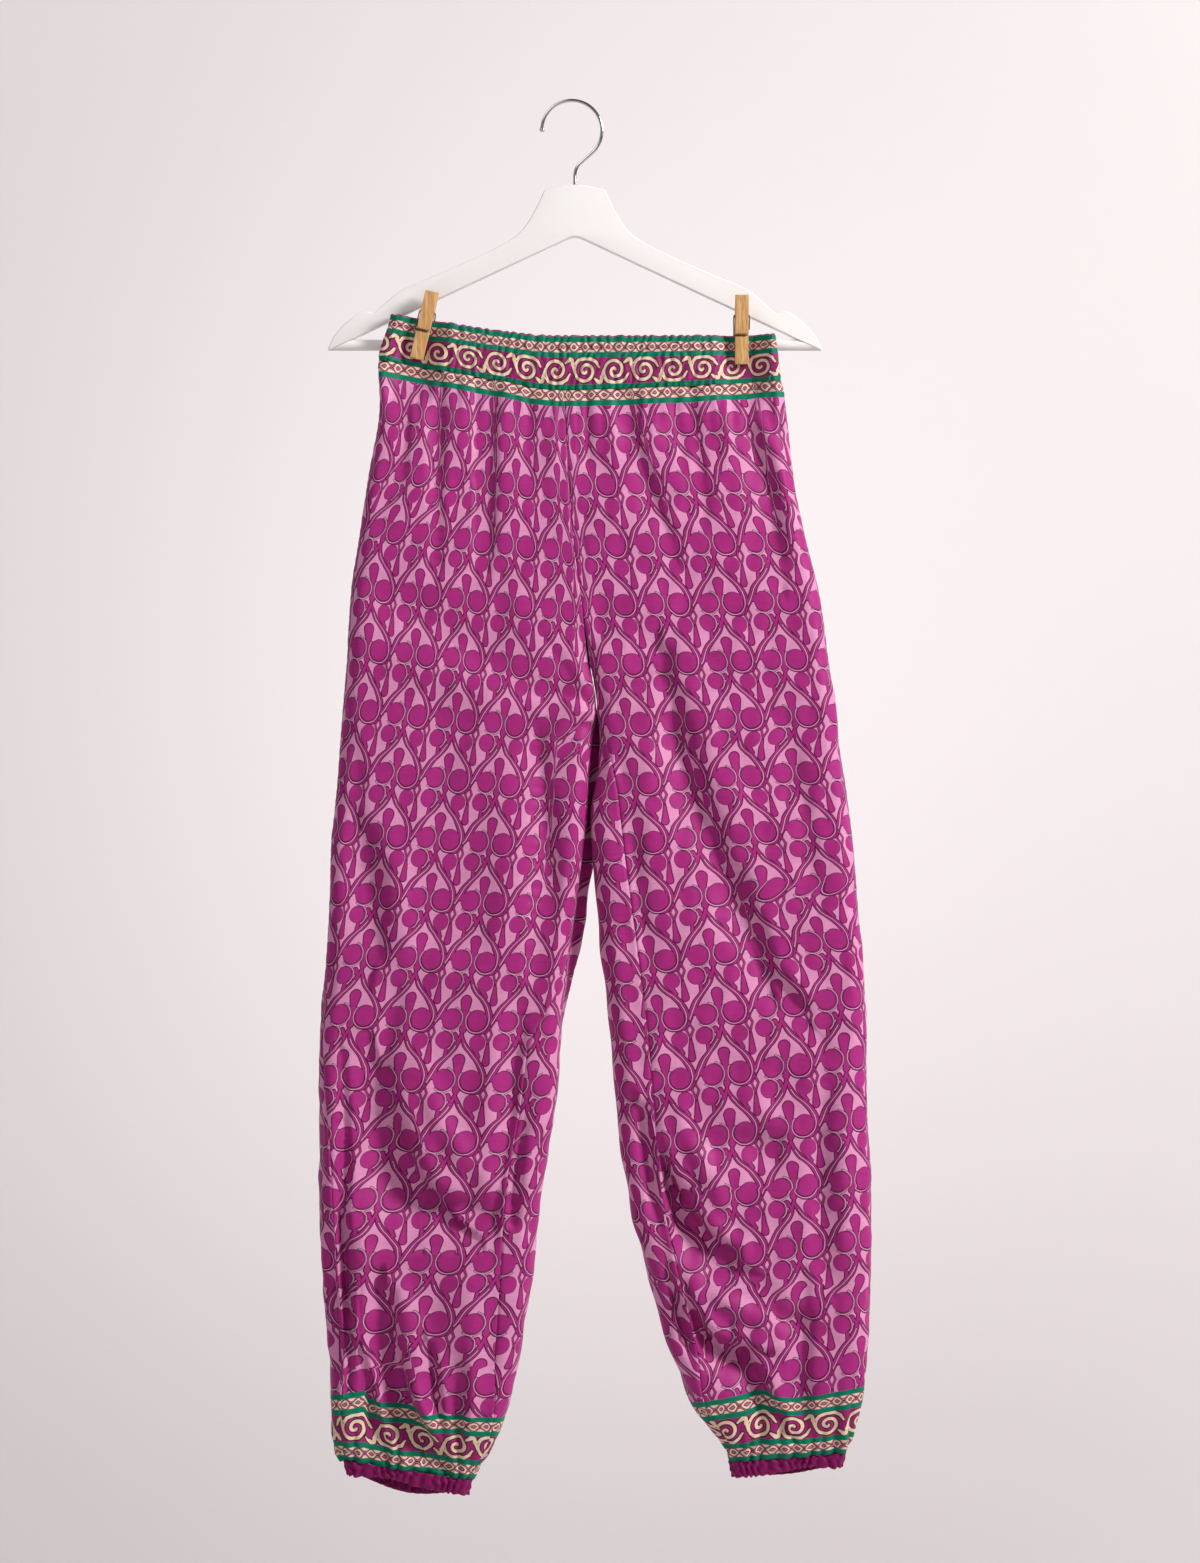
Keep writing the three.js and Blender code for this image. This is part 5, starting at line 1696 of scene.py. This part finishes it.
def bareWood():
    material, wiring, shader = newMaterial("peg wood")
    place = wiring.node("TexCoord").outputs["Object"]
    waves = wiring.noise(place, 1, 4, pegLook["streakScale"])[0]
    rings = wiring.noise(place, 1, 2, pegLook["ringScale"])[0]
    streaks = wiring.inside(wiring.minus(waves, pegLook["streakFrom"]), 0.1)
    streaks = wiring.times(streaks, pegLook["streakShare"])
    color = wiring.paint(wiring.ramp(rings, pegLook["rings"], "EASE"), pegLook["streak"], streaks)
    roughness = wiring.math("MULTIPLY_ADD", waves, pegLook["uneven"], pegLook["roughness"])
    wiring.put(shader.inputs["Base Color"], color)
    wiring.put(shader.inputs["Normal"], wiring.bump(waves, pegLook["bump"], pegLook["height"]))
    wiring.put(shader.inputs["Roughness"], roughness)
    return material


wireLook = {"scale": 260, "shade": 0.8, "uneven": 0.12}


def steelWire(name, color, roughness):
    material, wiring, shader = newMaterial(name)
    drawn = wiring.noise(wiring.node("TexCoord").outputs["Object"], wireLook["scale"], 3)[0]
    darker = [c * wireLook["shade"] for c in color[:3]] + [1]
    wiring.put(shader.inputs["Base Color"], wiring.paint(color, darker, drawn))
    wiring.put(shader.inputs["Roughness"], wiring.math("MULTIPLY_ADD", drawn, wireLook["uneven"], roughness))
    shader.inputs["Metallic"].default_value = 1
    return material


printedSilk, borderSilk, plainSilk = legSilk(), waistSilk(), cuffSilk()
whitePaint, pegWood = paintedWood(), bareWood()
polishedSteel = steelWire("polished steel", screenColor(205, 205, 208), 0.12)
dullWire = steelWire("dull wire", screenColor(92, 90, 92), 0.35)
print("materials made")


# the pieces of the part
def dress(piece, nodes):
    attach(piece, "root")
    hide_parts(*nodes)


def dressSheet(piece, node):
    dress(piece, [node])


for name in ("left", "right"):
    for side, facing in ((-1, "front"), (1, "back")):
        dressSheet(legPanel(name, side, printedSilk), f"leg_{facing}_{name}")
    dressSheet(cuffRing(name, plainSilk), f"cuff_{name}")
for facing, side in (("front", -1), ("back", 1)):
    node = f"waist_casing_{facing}"
    dressSheet(waistHalf(node + "_cloth", side, borderSilk), node)
dressSheet(pocketStrip(plainSilk), "pocket_facing_right")
print("cloth made")

dress(hangerWood(whitePaint), ["hanger_body"])
dress(hangerDowel(whitePaint), ["hanger_bar"])
dress(hookWire(polishedSteel), ["hanger_hook"])
for name in ("left", "right"):
    for facing in ("front", "back"):
        dress(pegHalf(name, facing, pegWood), [f"peg_{name}_{facing}"])
    dress(pegSpring(name, dullWire), [f"peg_{name}_spring"])
print("hanger and pegs made")


# wall, floor, lights and camera
studio = {
    "wallY": 0.9,
    "wallTop": 5,
    "floorZ": -1.75,
    "reach": 9,
    "color": screenColor(206, 200, 201),
    "roughness": 0.9,
    "glow": 0.17,  # light that the paint gives behind the garment
    "glowSize": (0.95, 1.1),
    "glowShift": (0.02, 0.5),
    "light": (0.21, 0.16),  # light that it gives everywhere, high up and low down
    "lightHeights": (-0.9, -1.6),
    "tint": 0.965,
    "air": (0.95, 0.95, 1, 1),
    "airStrength": 0.08,
    "lens": 85,
    "sensor": 36,
    "distance": 3.308,
    "centre": (0.0225, -0.609),
}


# Pale paint that glows with painted light, a little brighter behind the garment and dimmer low down, that
# hides nothing when it is seen from behind.
def wallMaterial():
    material, wiring, shader = newMaterial("studio wall")
    place = wiring.node("TexCoord").outputs["Object"]
    (wide, tall), (right, up) = studio["glowSize"], studio["glowShift"]
    away = wiring.vector("MULTIPLY_ADD", place, (1 / wide, 0, 1 / tall), (right, 0, up))
    # painted light: a glow that fades out from behind the garment, and one that dims from high to low
    glow = wiring.fade(wiring.vector("LENGTH", away), 0, 1, studio["glow"], 0)
    low = wiring.fade(wiring.split(place)[2], *studio["lightHeights"], *studio["light"])
    light = wiring.plus(glow, low)
    tinted = wiring.times(light, studio["tint"])
    tone = wiring.node("CombineXYZ", {0: light, 1: tinted, 2: tinted}).outputs[0]
    wiring.put(shader.inputs["Emission Color"], tone)
    shader.inputs["Base Color"].default_value = studio["color"]
    shader.inputs["Roughness"].default_value = studio["roughness"]
    shader.inputs["Emission Strength"].default_value = 1
    behind = wiring.node("NewGeometry").outputs["Backfacing"]
    wiring.put(shader.inputs["Alpha"], wiring.minus(1, behind))
    return material


def stageSheet(name, corners, material):
    mesh = bpy.data.meshes.new(name)
    mesh.from_pydata([Vector(corner) for corner in corners], [], [(0, 1, 2, 3)])
    piece = linkMesh(name, mesh, material)


def areaLight(name, place, target, size, watts, color):
    lamp = bpy.data.lights.new(name, "AREA")
    lamp.shape, lamp.size, lamp.size_y = "RECTANGLE", size[0], size[1]
    lamp.energy, lamp.color = watts, color
    holder = bpy.data.objects.new(name, lamp)
    holder.location = place
    holder.rotation_euler = (Vector(target) - Vector(place)).to_track_quat("-Z", "Y").to_euler()
    bpy.context.scene.collection.objects.link(holder)


right, back, top, low = studio["reach"], studio["wallY"], studio["wallTop"], studio["floorZ"]
left = front = -right
wallCorners = [(left, back, low), (right, back, low), (right, back, top), (left, back, top)]
floorCorners = [(left, front, low), (right, front, low), (right, right, low), (left, right, low)]
stageSheet("studio_wall", wallCorners, wallMaterial())
stageSheet("studio_floor", floorCorners, wallMaterial())

lights = [  # place, what it shines at, width and height, watts and color
    ("key light", (2.75, -1.6, 1.1), (0, 0, -0.5), (0.8, 1.1), 140, (1, 0.98, 0.97)),
    ("top light", (-0.9, -1.5, 1.2), (0, 0, -0.3), (1.4, 0.9), 14, (1, 0.99, 0.98)),
    ("fill light", (-2.2, -3.2, 0.2), (0, 0, -0.7), (2.0, 2.0), 9, (0.98, 0.98, 1)),
]
for row in lights:
    areaLight(*row)
world = bpy.data.worlds.new("studio air")
world.use_nodes = True
world.node_tree.nodes["Background"].inputs["Color"].default_value = studio["air"]
world.node_tree.nodes["Background"].inputs["Strength"].default_value = studio["airStrength"]
bpy.context.scene.world = world
bpy.context.scene.view_settings.view_transform = "Standard"

lens = bpy.data.cameras.new("camera")
lens.lens, lens.sensor_width = studio["lens"], studio["sensor"]
camera = bpy.data.objects.new("camera", lens)
camera.location = (studio["centre"][0], -studio["distance"], studio["centre"][1])
camera.rotation_euler = (math.radians(90), 0, 0)
bpy.context.scene.collection.objects.link(camera)
bpy.context.scene.camera = camera
print("studio ready")
